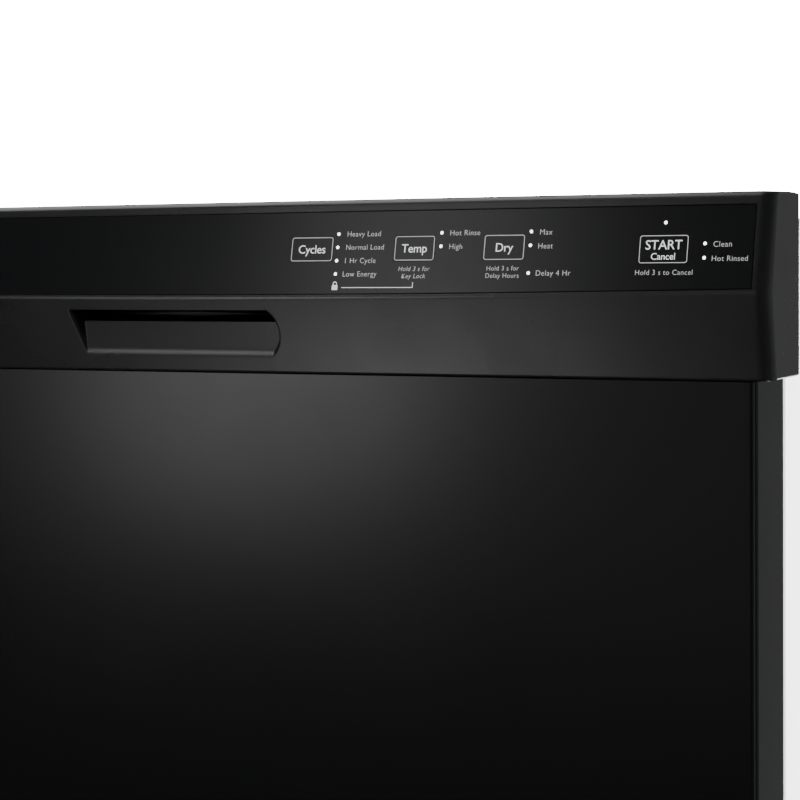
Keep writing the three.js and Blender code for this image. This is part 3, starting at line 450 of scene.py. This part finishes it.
def console_stations():
    end_radius = 6.0
    places = {0.0}
    for side in (-1, 1):
        for step in range(9):
            places.add(side * (HALF - end_radius * (1 - math.sin(step * math.pi / 16))))
        for mark in (OVERLAY_END + SEAT_GAP - 0.02, OVERLAY_END + SEAT_GAP + 0.02, OVERLAY_END - 1.5):
            places.add(side * mark)
        for step in range(1, 30):
            places.add(side * step * 10.0)
    for step in range(64):
        places.add(-67.0 + step * 0.5)
        places.add(30.0 + step * 0.5)
    for step in range(20):
        places.add(-35.0 + step * 3.2)
    return sorted(places)


def console_housing():
    end_radius = 6.0
    rings = []
    for x in console_stations():
        into_end = max(0.0, end_radius - (HALF - abs(x)))
        inset = end_radius - math.sqrt(max(0.0, end_radius ** 2 - into_end ** 2))
        edge = 1.6 * inset / end_radius
        ring = []
        for y, z in console_section(x):
            depth = pocket_depth(x, z) if z < RIDGE - 3 and y < FRONT + 14 else 0.0
            depth += seat_depth(x, z) if y < BACK - 13 and z > RIDGE else 0.0
            front_share = (BACK - y) / (BACK - FRONT)
            z_in = z + edge if z < FOOT + 0.5 else z - edge if z > TOP - 0.5 else z
            ring.append((x, y + depth + inset * front_share, z_in))
        rings.append(ring)
    obj = even_normals(loft("console_shell", rings, True, 38.0))
    return dress(obj, CONSOLE, "door", "console_black", "console_housing")


console_housing()

# ---- Overlay, lamps and buttons -----------------------------------------------------------

BUTTONS = (
    ("button_cycles", 64.5, 22.8, 17.5, 12.0, (("Cycles", 4.0, 0.0),)),
    ("button_temperature", 120.0, 21.0, 17.5, 12.0, (("Temp", 4.0, 0.0),)),
    ("button_dry", 166.0, 20.6, 17.5, 12.0, (("Dry", 4.0, 0.0),)),
    ("button_start", 242.0, 23.2, 15.4, 13.0, (("START", 4.2, 2.0), ("Cancel", 3.0, -3.2))),
)
LAMP_PITCH = 6.4
LAMP_FOOT = 11.5
LAMP_COLUMNS = ((89.7, (0, 1, 2, 3)), (144.1, (2, 3)), (189.3, (0, 2, 3)), (272.7, (1, 2)))
START_LAMP = (253.8, 33.9)
LAMP_PLACES = [(x, LAMP_FOOT + row * LAMP_PITCH) for x, rows in LAMP_COLUMNS for row in rows] + [START_LAMP]
LENS_RADIUS = 0.74
SLIT = 0.12


def overlay_outline(inset):
    end = OVERLAY_END - inset
    points = []
    steps = 96
    for step in range(steps + 1):
        x = -end + 2 * end * step / steps
        points.append((x, OVERLAY_FOOT + inset + ridge_lift(x)))
    top = OVERLAY_TOP - inset
    radius = 1.2
    for cx, start in ((end - radius, 0), (-end + radius, 90)):
        for step in range(5):
            angle = math.radians(start + 90 * step / 4)
            points.append((cx + radius * math.cos(angle), top - radius + radius * math.sin(angle)))
    return points


def circle(x, z, radius):
    steps = 24
    return [(x + radius * math.cos(2 * math.pi * i / steps), z + radius * math.sin(2 * math.pi * i / steps))
            for i in range(steps)]


def ring_stack(name, outlines_and_depths):
    """Loft between (x, z) outlines that all have the same number of points."""
    return loft(name, [[(x, depth, z) for x, z in outline] for outline, depth in outlines_and_depths])


def control_overlay():
    edge = 0.25
    full = overlay_outline(0.0)
    plate = ring_stack("overlay_sheet", (
        (overlay_outline(edge), 0.0), (full, edge), (full, SEAT_DEPTH - 0.02)))
    cutters = []
    for name, left, wide, foot, tall, _ in BUTTONS:
        outline = rounded_rectangle(left - SLIT, foot - SLIT, left + wide + SLIT, foot + tall + SLIT, 1.4)
        cutters.append(prism("cut_" + name, outline, -1, 3, "y"))
    for x, z in LAMP_PLACES:
        cutters.append(prism("cut_lamp", circle(x, z, LENS_RADIUS + 0.04), -1, 3, "y"))
    cutter = joined("overlay_cuts", cutters)
    modifier = plate.modifiers.new("holes", "BOOLEAN")
    modifier.operation = "DIFFERENCE"
    modifier.solver = "EXACT"
    modifier.object = cutter
    apply_modifiers(plate)
    bpy.data.objects.remove(cutter)
    shade(plate.data, 12.0)
    on_face(plate)
    return dress(plate, OVERLAY, "door", "overlay_black", "control_overlay")


def lamp_lenses():
    parts = []
    for x, z in LAMP_PLACES:
        parts.append(ring_stack("lens", (
            (circle(x, z, 0.3 * LENS_RADIUS), -0.08), (circle(x, z, 0.8 * LENS_RADIUS), -0.05),
            (circle(x, z, LENS_RADIUS), 0.03), (circle(x, z, LENS_RADIUS), 0.9))))
    obj = on_face(joined("indicator_lamps", parts, 50.0))
    return dress(obj, LIGHT, "door", "light_guide", "indicator_light_guide")


PRINT_FRONT = -0.035
PRINT_BACK = -0.005


def flat_text(name, words, cap_height, x, z, align="CENTER", shear=0.0, spacing=0.97, weight=0.0):
    """Raised print on the leaning face; x and z give the middle (or left end) of the words."""
    curve = bpy.data.curves.new(name, "FONT")
    curve.body = words
    curve.size = cap_height * MM / 0.69
    curve.align_x = align
    curve.align_y = "BOTTOM_BASELINE"
    curve.shear = shear
    curve.space_character = spacing
    curve.resolution_u = 3
    curve.extrude = 0.012 * MM
    curve.offset = cap_height * MM * weight
    source = bpy.data.objects.new(name, curve)
    bpy.context.scene.collection.objects.link(source)
    graph = bpy.context.evaluated_depsgraph_get()
    graph.update()
    mesh = bpy.data.meshes.new_from_object(source.evaluated_get(graph))
    bpy.data.objects.remove(source)
    mesh.transform(Matrix.Rotation(math.pi / 2, 4, "X"))
    mesh.transform(Matrix.Translation((x * MM, PRINT_FRONT * MM, (z - cap_height / 2) * MM)))
    obj = bpy.data.objects.new(name, mesh)
    bpy.context.scene.collection.objects.link(obj)
    return obj


def outline_ring(name, left, foot, wide, tall, radius, width):
    """Printed rounded frame; the vertices are the outer and inner outlines, front then back."""
    right, top = left + wide, foot + tall
    outer = rounded_rectangle(left, foot, right, top, radius)
    inner = rounded_rectangle(left + width, foot + width, right - width, top - width, radius - width)
    count = len(outer)
    vertices = [(x, y, z) for y in (PRINT_FRONT, PRINT_BACK) for x, z in outer + inner]
    faces = []
    for i in range(count):
        j = (i + 1) % count
        faces.append((i, j, count + j, count + i))
        faces.append((2 * count + i, 3 * count + i, 3 * count + j, 2 * count + j))
        faces.append((i, 2 * count + i, 2 * count + j, j))
        faces.append((count + i, count + j, 3 * count + j, 3 * count + i))
    return mesh_object(name, vertices, faces)


PAD_EDGE = 0.12
PAD_THICKNESS = 0.26
PAD_CORNER = 1.3
RING_INSET = 0.25
RING_WIDTH = 0.34


def control_buttons():
    for name, left, wide, foot, tall, lines in BUTTONS:
        right, top = left + wide, foot + tall
        pads = []
        for inset, depth in ((PAD_EDGE, 0.0), (0.0, PAD_EDGE), (0.0, PAD_THICKNESS)):
            corner = PAD_CORNER - inset
            outline = rounded_rectangle(left + inset, foot + inset, right - inset, top - inset, corner)
            pads.append((outline, depth))
        pad = ring_stack(name + "_pad", pads)
        shade(pad.data, 12.0)
        on_face(pad)
        dress(pad, OVERLAY, name, "button_black", name)
        ring = outline_ring(name + "_outline", left + RING_INSET, foot + RING_INSET, wide - 2 * RING_INSET,
                            tall - 2 * RING_INSET, 1.2, RING_WIDTH)
        # Printed frame with a painted glow (emission on the print).
        dress(on_face(ring), PRINT_DIM_GLOW, name, "white_plastic")
        for index, (words, cap, drop) in enumerate(lines):
            text = flat_text(f"{name}_word_{index}", words, cap, left + wide / 2, foot + tall / 2 + drop)
            # Printed word with a painted glow (emission on the print).
            dress(on_face(text), PRINT_GLOW, name, "white_plastic")


# Words beside the lamps: text, x, z up the face, cap height, alignment, slant.
LABELS = (
    ("Heavy Load", 94.2, 30.7, 2.5, "LEFT", 0.0), ("Normal Load", 94.0, 24.3, 2.5, "LEFT", 0.0),
    ("1 Hr Cycle", 93.6, 17.9, 2.5, "LEFT", 0.0), ("Low Energy", 93.4, 11.5, 2.5, "LEFT", 0.0),
    ("Hold 3 s for", 130.9, 13.8, 2.15, "CENTER", 0.2), ("Key Lock", 130.9, 10.4, 2.15, "CENTER", 0.2),
    ("Hot Rinse", 148.2, 30.6, 2.5, "LEFT", 0.0), ("High", 148.2, 24.2, 2.5, "LEFT", 0.0),
    ("Hold 3 s for", 176.3, 13.8, 2.15, "CENTER", 0.0), ("Delay Hours", 176.3, 10.4, 2.15, "CENTER", 0.0),
    ("Max", 193.4, 30.4, 2.5, "LEFT", 0.0), ("Heat", 193.0, 24.0, 2.5, "LEFT", 0.0),
    ("Delay 4 Hr", 192.8, 11.5, 2.5, "LEFT", 0.0),
    ("Hold 3 s to Cancel", 254.4, 11.5, 2.3, "CENTER", 0.0),
    ("Clean", 276.4, 24.0, 2.5, "LEFT", 0.0), ("Hot Rinsed", 276.0, 17.6, 2.4, "LEFT", 0.0),
)


def printed(name, outline):
    return prism(name, outline, PRINT_FRONT, PRINT_BACK, "y")


def strip(name, x0, z0, x1, z1):
    return printed(name, [(x0, z0), (x1, z0), (x1, z1), (x0, z1)])


def half_circle(x, z, radius):
    steps = 12
    return [(x + radius * math.cos(math.pi * i / steps), z + radius * math.sin(math.pi * i / steps))
            for i in range(steps + 1)]


def printed_legend():
    parts = [flat_text(f"label_{i}", words, cap, x, z, align, shear, 1.06, -0.012)
             for i, (words, x, z, cap, align, shear) in enumerate(LABELS)]
    legend = on_face(joined("printed_labels", parts))
    # Printed labels with a painted glow (emission on the print).
    dress(legend, PRINT_DIM_GLOW, "door", "white_plastic")
    lock_x, lock_z = 89.9, 5.3
    body_outline = rounded_rectangle(lock_x - 1.5, lock_z - 1.5, lock_x + 1.5, lock_z + 0.9, 0.3)
    body = printed("lock_body", body_outline)
    foot, shoulder = lock_z + 0.8, lock_z + 1.5
    outside = [(lock_x + 1.1, foot), *half_circle(lock_x, shoulder, 1.1), (lock_x - 1.1, foot)]
    inside = [(lock_x + 0.7, foot), *half_circle(lock_x, shoulder, 0.7), (lock_x - 0.7, foot)]
    shackle = printed("lock_bow", outside + inside[::-1])
    bracket = strip("bracket_line", 93.6, 4.8, 131.2, 5.1)
    riser = strip("bracket_riser", 130.9, 5.1, 131.2, 7.4)
    icon = on_face(joined("lock_icon", [body, shackle, bracket, riser]))
    # Printed lock icon and bracket with a painted glow (emission on the print).
    dress(icon, PRINT_GLOW, "door", "white_plastic")


control_overlay()
lamp_lenses()
control_buttons()
printed_legend()

# ---- Door panel -----------------------------------------------------------------------------

panel_low, panel_high = (tuple(c / MM for c in corner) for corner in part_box("door_panel"))


def door_section():
    """Plan of the door's skin and side frame on the right, as (x, y) points from the middle outwards."""
    edge = panel_high[0]
    front = panel_low[1]
    back = panel_high[1]
    hem = 1.7
    points = [(0.0, front), (edge - 40, front), (edge - hem - 4, front)]
    for step in range(9):
        angle = math.radians(-90 + 180 * step / 8)
        points.append((edge - hem + hem * math.cos(angle), front + hem + hem * math.sin(angle)))
    points.append((edge - 2.6, front + 2 * hem + 0.1))
    points.append((edge - 2.8, front + 2 * hem + 1.4))
    for step in range(9):
        angle = math.radians(-90 + 90 * step / 8)
        points.append((edge - 3.0 + 2.8 * math.cos(angle), front + 2 * hem + 4.6 + 2.8 * math.sin(angle)))
    points += [(edge - 0.2, back - 3.0), (edge - 0.5, back - 2.6), (edge - 0.5, back)]
    return points


def door_panel():
    right = door_section()
    plan = [(-x, y) for x, y in reversed(right)] + right[1:]
    inner_back = panel_high[1]
    inset = 4.0
    plan += [(panel_high[0] - inset, inner_back), (panel_high[0] - inset, panel_low[1] + 6),
             (-panel_high[0] + inset, panel_low[1] + 6), (-panel_high[0] + inset, inner_back)]
    foot = panel_low[2]
    heights = [foot, foot + 1.2, *(foot + 40 * i for i in range(1, 16)), panel_high[2]]
    rings = [[(x, y, z) for x, y in plan] for z in heights]
    obj = even_normals(loft("door_skin", rings, True, 38.0))
    return dress(obj, PANEL, "door", "door_black", "door_panel")


door_panel()

# ---- Parts that follow their CAD solids, with softened edges -----------------------------------

SLOT_MATERIALS = {
    "console_black": CONSOLE, "overlay_black": OVERLAY, "button_black": OVERLAY, "door_black": PANEL,
    "grey_plastic": GREY, "dark_plastic": DARK, "white_plastic": WHITE, "light_guide": LIGHT,
    "blanket": FELT, "steel": STEEL, "zinc": ZINC, "heater_metal": HEATER, "coated_wire": COATED,
    "rubber": SEAL, "circuit": BOARD,
}
slot_of = {part["node"]: part["material_slot"] for part in frame["record"]["subparts"]}
body_of = {node: body for body, nodes in frame["record"]["behaviour"]["bodies"].items() for node in nodes}


def softened(node, edge, segments=2, extra=()):
    """Look of one CAD solid: flat faces merged, edges rounded, with any extra detail parts joined on."""
    source = bpy.data.objects[node]
    mesh = source.data.copy()
    mesh.transform(source.matrix_world)
    bm = bmesh.new()
    bm.from_mesh(mesh)
    bmesh.ops.remove_doubles(bm, verts=bm.verts, dist=0.000002)
    bmesh.ops.dissolve_limit(bm, angle_limit=math.radians(1), verts=bm.verts, edges=bm.edges)
    bm.to_mesh(mesh)
    bm.free()
    obj = link_mesh(node + "_look", mesh)
    obj.data.materials.clear()
    bevelled(obj, edge, segments, 32.0)
    if extra:
        obj = joined(node + "_look", [obj, *extra], 35.0)
    even_normals(obj)
    return dress(obj, SLOT_MATERIALS[slot_of[node]], body_of[node], slot_of[node], node)


def turned(name, profile, centre, axis="z", steps=32):
    """Ring-shaped or full body of revolution; the profile lists radius and height pairs."""
    rings = []
    for step in range(steps):
        angle = 2 * math.pi * step / steps
        ring = []
        for radius, rise in profile:
            a, b = radius * math.cos(angle), radius * math.sin(angle)
            offset = {"x": (rise, a, b), "y": (a, rise, b), "z": (a, b, rise)}[axis]
            ring.append(tuple(c + o for c, o in zip(centre, offset)))
        rings.append(ring)
    count = len(profile)
    vertices = [point for ring in rings for point in ring]
    faces = []
    for ring in range(steps):
        following = (ring + 1) % steps
        for i in range(count):
            j = (i + 1) % count
            faces.append((ring * count + i, ring * count + j, following * count + j, following * count + i))
    return mesh_object(name, vertices, faces, 35.0)


def rounded_path(points, radius):
    """Line through the points with each inner corner turned into a bend."""
    steps = 4
    path = [Vector(points[0])]
    for before, corner, after in zip(points, points[1:], points[2:]):
        corner = Vector(corner)
        start = corner + (Vector(before) - corner).normalized() * radius
        end = corner + (Vector(after) - corner).normalized() * radius
        for step in range(steps + 1):
            share = step / steps
            path.append(start.lerp(corner, share).lerp(corner.lerp(end, share), share))
    path.append(Vector(points[-1]))
    return path


def wire_set(name, paths, radius, closed=False):
    """Round wire along each path, as one mesh; paths are lists of points in millimetres."""
    curve = bpy.data.curves.new(name, "CURVE")
    curve.dimensions = "3D"
    curve.bevel_depth = radius * MM
    curve.bevel_resolution = 1
    curve.use_fill_caps = True
    for path in paths:
        spline = curve.splines.new("POLY")
        spline.points.add(len(path) - 1)
        for point, place in zip(spline.points, path):
            point.co = (*(c * MM for c in place), 1)
        spline.use_cyclic_u = closed
    source = bpy.data.objects.new(name, curve)
    bpy.context.scene.collection.objects.link(source)
    graph = bpy.context.evaluated_depsgraph_get()
    graph.update()
    mesh = bpy.data.meshes.new_from_object(source.evaluated_get(graph))
    bpy.data.objects.remove(source)
    return link_mesh(name, mesh, 50.0)


def bar(name, low, high):
    (x0, y0, z0), (x1, y1, z1) = low, high
    return prism(name, [(x0, y0), (x1, y0), (x1, y1), (x0, y1)], z0, z1)


def node_box(node):
    low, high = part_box(node)
    return tuple(c / MM for c in low), tuple(c / MM for c in high)


# Width of the rounding on each part's edges.
SOFT_EDGES = {
    "door_liner": 1.2, "detergent_dispenser": 1.0, "detergent_lid": 0.35, "rinse_aid_cap": 0.7,
    "door_vent": 0.6, "latch_case": 0.6, "latch_hook": 0.4, "latch_strike": 0.4,
    "hinge_arm_left": 0.4, "hinge_arm_right": 0.4, "hinge_bracket_left": 0.5,
    "hinge_bracket_right": 0.5, "tub": 1.0, "tub_gasket": 1.4, "insulation_blanket": 2.0,
    "rack_guide_left": 0.8, "rack_guide_right": 0.8, "base_rail_left": 0.6, "base_rail_right": 0.6,
    "mounting_bracket_left": 0.3, "mounting_bracket_right": 0.3, "foot_front_left": 0.7,
    "foot_front_right": 0.7, "foot_rear_left": 0.7, "foot_rear_right": 0.7, "front_crossbar": 0.6,
    "toe_panel": 0.6, "sump": 1.0, "wash_pump": 1.5, "drain_pump": 1.2, "inlet_valve": 0.9,
    "junction_box": 0.7, "heating_element": 0.2, "filter_cup": 0.5, "float_dome": 0.8,
    "water_feed_tube": 0.2, "upper_track_left": 0.5, "upper_track_right": 0.5, "control_board": 0.2,
}
for node, edge in SOFT_EDGES.items():
    softened(node, edge)


def filter_screen():
    """Pierced steel ring: a softened disc with rows of raised rims around its holes."""
    low, high = node_box("filter_screen")
    cx, cy = (low[0] + high[0]) / 2, (low[1] + high[1]) / 2
    rims = []
    for row, radius in enumerate((44.0, 54.0, 64.0, 74.0, 84.0)):
        count = int(2 * math.pi * radius / 11)
        for i in range(count):
            angle = 2 * math.pi * (i + row / 2) / count
            place = (cx + radius * math.cos(angle), cy + radius * math.sin(angle), high[2])
            rims.append(turned("rim", [(2.0, -0.4), (3.2, -0.4), (2.6, 0.5)], place, "z", 10))
    softened("filter_screen", 0.4, 2, rims)


def spray_arm(node):
    """Blade with raised jet rings along it and a ribbed hub cap."""
    low, high = node_box(node)
    cx, cy = (low[0] + high[0]) / 2, (low[1] + high[1]) / 2
    blade_top = {"lower_spray_arm": 230.0, "upper_spray_arm": 474.0}[node]
    jets = []
    for side in (-1, 1):
        for i in range(6):
            place = (cx + side * (44 + 29 * i), cy + (-7 if i % 2 else 7), blade_top)
            jets.append(turned("jet", [(2.2, -0.6), (6.0, -0.6), (4.6, 1.6), (2.2, 1.6)], place, "z", 18))
    softened(node, 2.4, 3, jets)


def wheel(node):
    low, high = node_box(node)
    centre = tuple((a + b) / 2 for a, b in zip(low, high))
    rim = (high[1] - low[1]) / 2
    half = (high[0] - low[0]) / 2
    inner_side = [(4.4, -half + 0.4), (8.0, -half), (8.6, -half + 2.2), (rim - 4.6, -half + 2.2),
                  (rim - 4.0, -half), (rim - 1.2, -half), (rim, -half + 1.4)]
    profile = inner_side + [(radius, -height) for radius, height in reversed(inner_side)]
    tyre = turned(node + "_tyre", profile, centre, "x", 40)
    spokes = []
    for i in range(5):
        angle = 2 * math.pi * i / 5
        spoke = bar("spoke", (-half + 0.9, 7.5, -1.3), (half - 0.9, rim - 4.2, 1.3))
        spoke.data.transform(Matrix.Rotation(angle, 4, "X"))
        spoke.data.transform(Matrix.Translation(tuple(c * MM for c in centre)))
        spokes.append(spoke)
    obj = joined(node + "_look", [tyre, *spokes])
    dress(obj, GREY, node, "grey_plastic", node)


def door_spring(node):
    low, high = node_box(node)
    x, z = (low[0] + high[0]) / 2, (low[2] + high[2]) / 2
    coil_radius = (high[0] - low[0]) / 2 - 1.2
    coil_start = low[1] + 39
    coil_length = high[1] - 23 - coil_start
    turns = 34
    steps = turns * 14
    coil = []
    for i in range(steps + 1):
        angle = 2 * math.pi * turns * i / steps
        along = coil_start + coil_length * i / steps
        coil.append((x + coil_radius * math.cos(angle), along, z + coil_radius * math.sin(angle)))
    lead_in = rounded_path([(x, low[1] + 1, z + 4), (x, low[1] + 5, z), (x, coil_start - 5, z),
                            (x + coil_radius, coil_start, z)], 3.0)
    lead_out = rounded_path([(x + coil_radius, coil_start + coil_length, z), (x, high[1] - 18, z),
                             (x, high[1] - 5, z), (x, high[1] - 1, z + 4)], 3.0)
    obj = wire_set(node + "_look", [coil, lead_in, lead_out], 1.1)
    dress(obj, STEEL, "cabinet", "steel", node)


filter_screen()
spray_arm("lower_spray_arm")
spray_arm("upper_spray_arm")
for place in ("front_left", "front_right", "rear_left", "rear_right"):
    wheel("wheel_" + place)
door_spring("door_spring_left")
door_spring("door_spring_right")

# ---- Racks and basket ---------------------------------------------------------------------------


def loop_path(half, y0, y1, z, radius):
    corners = [(half, y0, z), (half, y1, z), (-half, y1, z), (-half, y0, z)]
    path = []
    for index, corner in enumerate(corners):
        path += rounded_path([corners[index - 1], corner, corners[(index + 1) % 4]], radius)[1:-1]
    return path


def wire_rack(node, body, tine_rows, tine_height, first_tine_y, extra=()):
    """Basket of bent wires: rims, hoops across and along, and rows of upright tines."""
    low, high = node_box(node)
    thick, thin = 2.3, 1.5
    half = 245.0 - thick
    y0, y1 = low[1] + thick, high[1] - thick
    top = high[2] - thick
    floor_z = {"lower_rack": 236.0, "upper_rack": 500.0}[node] + thin
    rims = [loop_path(half, y0, y1, top, 26), loop_path(half - 0.6, y0 + 0.6, y1 - 0.6, top - 34, 26)]
    middle_rims = [loop_path(half - 1.2, y0 + 1.2, y1 - 1.2, z, 24)
                   for z in (floor_z + 22, (floor_z + top) / 2 - 8)]
    hoops = []
    pitch = 23.5
    across = int((y1 - y0 - 50) / pitch)
    for i in range(across + 1):
        y = (y0 + y1) / 2 + (i - across / 2) * pitch
        hoops.append(rounded_path([(-half + 2, y, top), (-half + 4, y, floor_z), (half - 4, y, floor_z),
                                   (half - 2, y, top)], 14))
    along = int((2 * half - 50) / pitch)
    for i in range(along + 1):
        x = (i - along / 2) * pitch
        hoops.append(rounded_path([(x, y0 + 2, top), (x, y0 + 4, floor_z + 3), (x, y1 - 4, floor_z + 3),
                                   (x, y1 - 2, top)], 14))
    tines = []
    for x in tine_rows:
        y = first_tine_y
        while y < y1 - 24:
            tip = (x + 5, y + 3, floor_z + tine_height)
            tines.append(rounded_path([(x, y, floor_z), (x, y + 1, floor_z + 16), tip], 9))
            y += pitch
    parts = [wire_set("rims", rims, thick, True), wire_set("middle_rims", middle_rims, 1.7, True),
             wire_set("hoops", hoops, thin), wire_set("tines", tines, 1.6), *extra]
    obj = joined(node + "_look", parts, 50.0)
    dress(obj, COATED, body, "coated_wire", node)


def axle_arms():
    """Moulded wheel arms at the lower rack's sides, each with its axle and cap."""
    parts = []
    for side, label in ((-1, "left"), (1, "right")):
        for end in ("front", "rear"):
            low, high = node_box(f"wheel_{end}_{label}")
            y, z = (low[1] + high[1]) / 2, (low[2] + high[2]) / 2
            outline = rounded_rectangle(y - 8, z - 8, y + 8, 256.0, 5)
            ends = sorted((side * 233.5, side * 241.0))
            arm = prism("arm", outline, ends[0], ends[1], "x")
            bevelled(arm, 0.8)
            axle_ends = sorted((side * 240.0, side * 258.6))
            axle = prism("axle", circle(y, z, 4.0), axle_ends[0], axle_ends[1], "x")
            parts += [arm, axle]
    return parts


def basket():
    low, high = node_box("silverware_basket")
    x0, y0, z0 = (c + 0.4 for c in low)
    x1, y1, z1 = (c - 0.4 for c in high)
    bars = [bar("floor", (x0, y0, z0), (x1, y1, z0 + 3))]
    for z in (z0 + 3, z0 + 34, z0 + 66, z0 + 92):
        for ya, yb in ((y0, y0 + 2.4), (y1 - 2.4, y1)):
            bars.append(bar("rail", (x0, ya, z), (x1, yb, z + 4)))
        for xa, xb in ((x0, x0 + 2.4), (x1 - 2.4, x1)):
            bars.append(bar("rail", (xa, y0, z), (xb, y1, z + 4)))
    for ya, yb in ((y0, y0 + 2.8), (y1 - 2.8, y1)):
        bars.append(bar("rim", (x0, ya, z1 - 8), (x1, yb, z1)))
    for xa, xb in ((x0, x0 + 2.8), (x1 - 2.8, x1)):
        bars.append(bar("rim", (xa, y0, z1 - 8), (xb, y1, z1)))
    for i in range(35):
        x = x0 + 1.2 + (x1 - x0 - 4.4) * i / 34
        for ya, yb in ((y0 + 0.2, y0 + 2.2), (y1 - 2.2, y1 - 0.2)):
            bars.append(bar("slat", (x, ya, z0), (x + 2, yb, z1 - 4)))
    for i in range(8):
        y = y0 + 1.2 + (y1 - y0 - 4.4) * i / 7
        for xa, xb in ((x0 + 0.2, x0 + 2.2), (x1 - 2.2, x1 - 0.2)):
            bars.append(bar("slat", (xa, y, z0), (xb, y + 2, z1 - 4)))
    for i in range(1, 4):
        x = x0 + (x1 - x0) * i / 4
        bars.append(bar("divider", (x - 1.2, y0 + 1, z0), (x + 1.2, y1 - 1, z1 - 2)))
    obj = joined("basket_look", bars)
    dress(obj, GREY, "lower_rack", "grey_plastic", "silverware_basket")


wire_rack("lower_rack", "lower_rack", (-196, -148, -100, -52, 54, 102, 150, 198), 78, -92, axle_arms())
wire_rack("upper_rack", "upper_rack", (-150, -75, 78, 152), 46, -170)
basket()

# ---- Floor, light and camera ------------------------------------------------------------------


def floor():
    """Pale floor that the gloss of the door doesn't mirror."""
    reach = 6.0
    corners = [(-reach, -reach, 0), (reach, -reach, 0), (reach, reach, 0), (-reach, reach, 0)]
    mesh = bpy.data.meshes.new("floor")
    mesh.from_pydata(corners, [], [(0, 1, 2, 3)])
    obj = bpy.data.objects.new("floor", mesh)
    bpy.context.scene.collection.objects.link(obj)
    obj.data.materials.append(plastic("floor_pale", (0.60, 0.60, 0.60), 0.9, specular=0.1))
    obj.visible_glossy = False


def aim(obj, target):
    obj.rotation_euler = (Vector(target) - obj.location).to_track_quat("-Z", "Y").to_euler()


def area_light(name, azimuth, elevation, distance, target, wide, tall, power):
    """Soft light seen from its target at an azimuth (0 in front, positive to +X) and an elevation."""
    data = bpy.data.lights.new(name, "AREA")
    data.shape = "RECTANGLE"
    data.size = wide
    data.size_y = tall
    data.energy = power
    obj = bpy.data.objects.new(name, data)
    az, el = math.radians(azimuth), math.radians(elevation)
    offset = Vector((math.sin(az) * math.cos(el), -math.cos(az) * math.cos(el), math.sin(el))) * distance
    obj.location = Vector(target) + offset
    bpy.context.scene.collection.objects.link(obj)
    aim(obj, target)
    return obj


DIM_FRONT = 0.06
BRIGHT_BACK = 0.17


def studio_lights():
    """Soft boxes mirrored by the overlay, the lower face, the pocket, the door and the top edge."""
    on_overlay = (0.12, FRONT * MM, 0.825)
    on_sill = (0.11, FRONT * MM, 0.785)
    on_door = (-0.02, FRONT * MM, 0.72)
    area_light("high_softbox", -28.5, 20, 2.2, on_overlay, 0.26, 0.50, 1.1)
    low = area_light("low_softbox", -29.5, -25, 1.3, on_sill, 0.35, 0.22, 0.44)
    pocket = area_light("pocket_softbox", -28.5, 41, 2.2, on_sill, 0.40, 0.36, 0.45)
    lit_apart = bpy.data.collections.new("lit_apart")
    lit_apart.objects.link(bpy.data.objects["console_shell"])
    low.light_linking.receiver_collection = lit_apart
    pocket.light_linking.receiver_collection = lit_apart
    area_light("door_softbox", -29.3, -0.5, 2.2, on_door, 0.44, 0.44, 2.15)
    area_light("door_edge_softbox", -13, -0.5, 2.2, (0.2, -0.3, 0.7), 0.9, 1.0, 0.5)
    area_light("rim_softbox", -90, 52, 2.2, (0.0, -0.3, 0.85), 2.4, 2.0, 34.0)
    side = area_light("side_softbox", 98, -6, 2.2, (0.29, 0.0, 0.6), 1.2, 1.6, 370.0)
    side.visible_glossy = False
    fill = area_light("fill_softbox", 14, 38, 3.0, (0.0, -0.1, 0.6), 2.0, 2.0, 90.0)
    fill.visible_glossy = False


def surroundings():
    """Dim in front and brighter behind; the camera sees plain white."""
    world = bpy.data.worlds.new("studio")
    bpy.context.scene.world = world
    world.use_nodes = True
    nodes, links = world.node_tree.nodes, world.node_tree.links
    room = nodes["Background"]
    room.inputs["Color"].default_value = (1, 1, 1, 1)
    coords = nodes.new("ShaderNodeTexCoord")
    split = nodes.new("ShaderNodeSeparateXYZ")
    share = nodes.new("ShaderNodeMapRange")
    share.inputs["From Min"].default_value = -0.30
    share.inputs["From Max"].default_value = 0.35
    share.inputs["To Min"].default_value = DIM_FRONT
    share.inputs["To Max"].default_value = BRIGHT_BACK
    links.new(coords.outputs["Generated"], split.inputs["Vector"])
    links.new(split.outputs["Y"], share.inputs["Value"])
    links.new(share.outputs["Result"], room.inputs["Strength"])
    backdrop = nodes.new("ShaderNodeBackground")
    backdrop.inputs["Color"].default_value = (1, 1, 1, 1)
    backdrop.inputs["Strength"].default_value = 30.0
    rays = nodes.new("ShaderNodeLightPath")
    choice = nodes.new("ShaderNodeMixShader")
    links.new(rays.outputs["Is Camera Ray"], choice.inputs["Fac"])
    links.new(room.outputs["Background"], choice.inputs[1])
    links.new(backdrop.outputs["Background"], choice.inputs[2])
    links.new(choice.outputs["Shader"], nodes["World Output"].inputs["Surface"])


def camera():
    """View from the right and a little above, in radians: turned left, tipped down and barely rolled."""
    yaw, pitch, roll = 0.47506, 0.07076, -0.01303
    data = bpy.data.cameras.new("camera")
    data.sensor_width = 36.0
    data.lens = 103.1
    obj = bpy.data.objects.new("camera", data)
    obj.location = (0.6123, FRONT * MM - 0.9485, TOP * MM - 0.0183)
    forward = Vector((-math.sin(yaw), math.cos(yaw), 0))
    right = Vector((math.cos(yaw), math.sin(yaw), 0))
    view = forward * math.cos(pitch) - Vector((0, 0, 1)) * math.sin(pitch)
    up = Vector((0, 0, 1)) * math.cos(pitch) + forward * math.sin(pitch)
    right_rolled = right * math.cos(roll) + up * math.sin(roll)
    up_rolled = up * math.cos(roll) - right * math.sin(roll)
    obj.rotation_euler = Matrix((right_rolled, up_rolled, -view)).transposed().to_euler()
    bpy.context.scene.collection.objects.link(obj)
    bpy.context.scene.camera = obj


floor()
studio_lights()
surroundings()
camera()
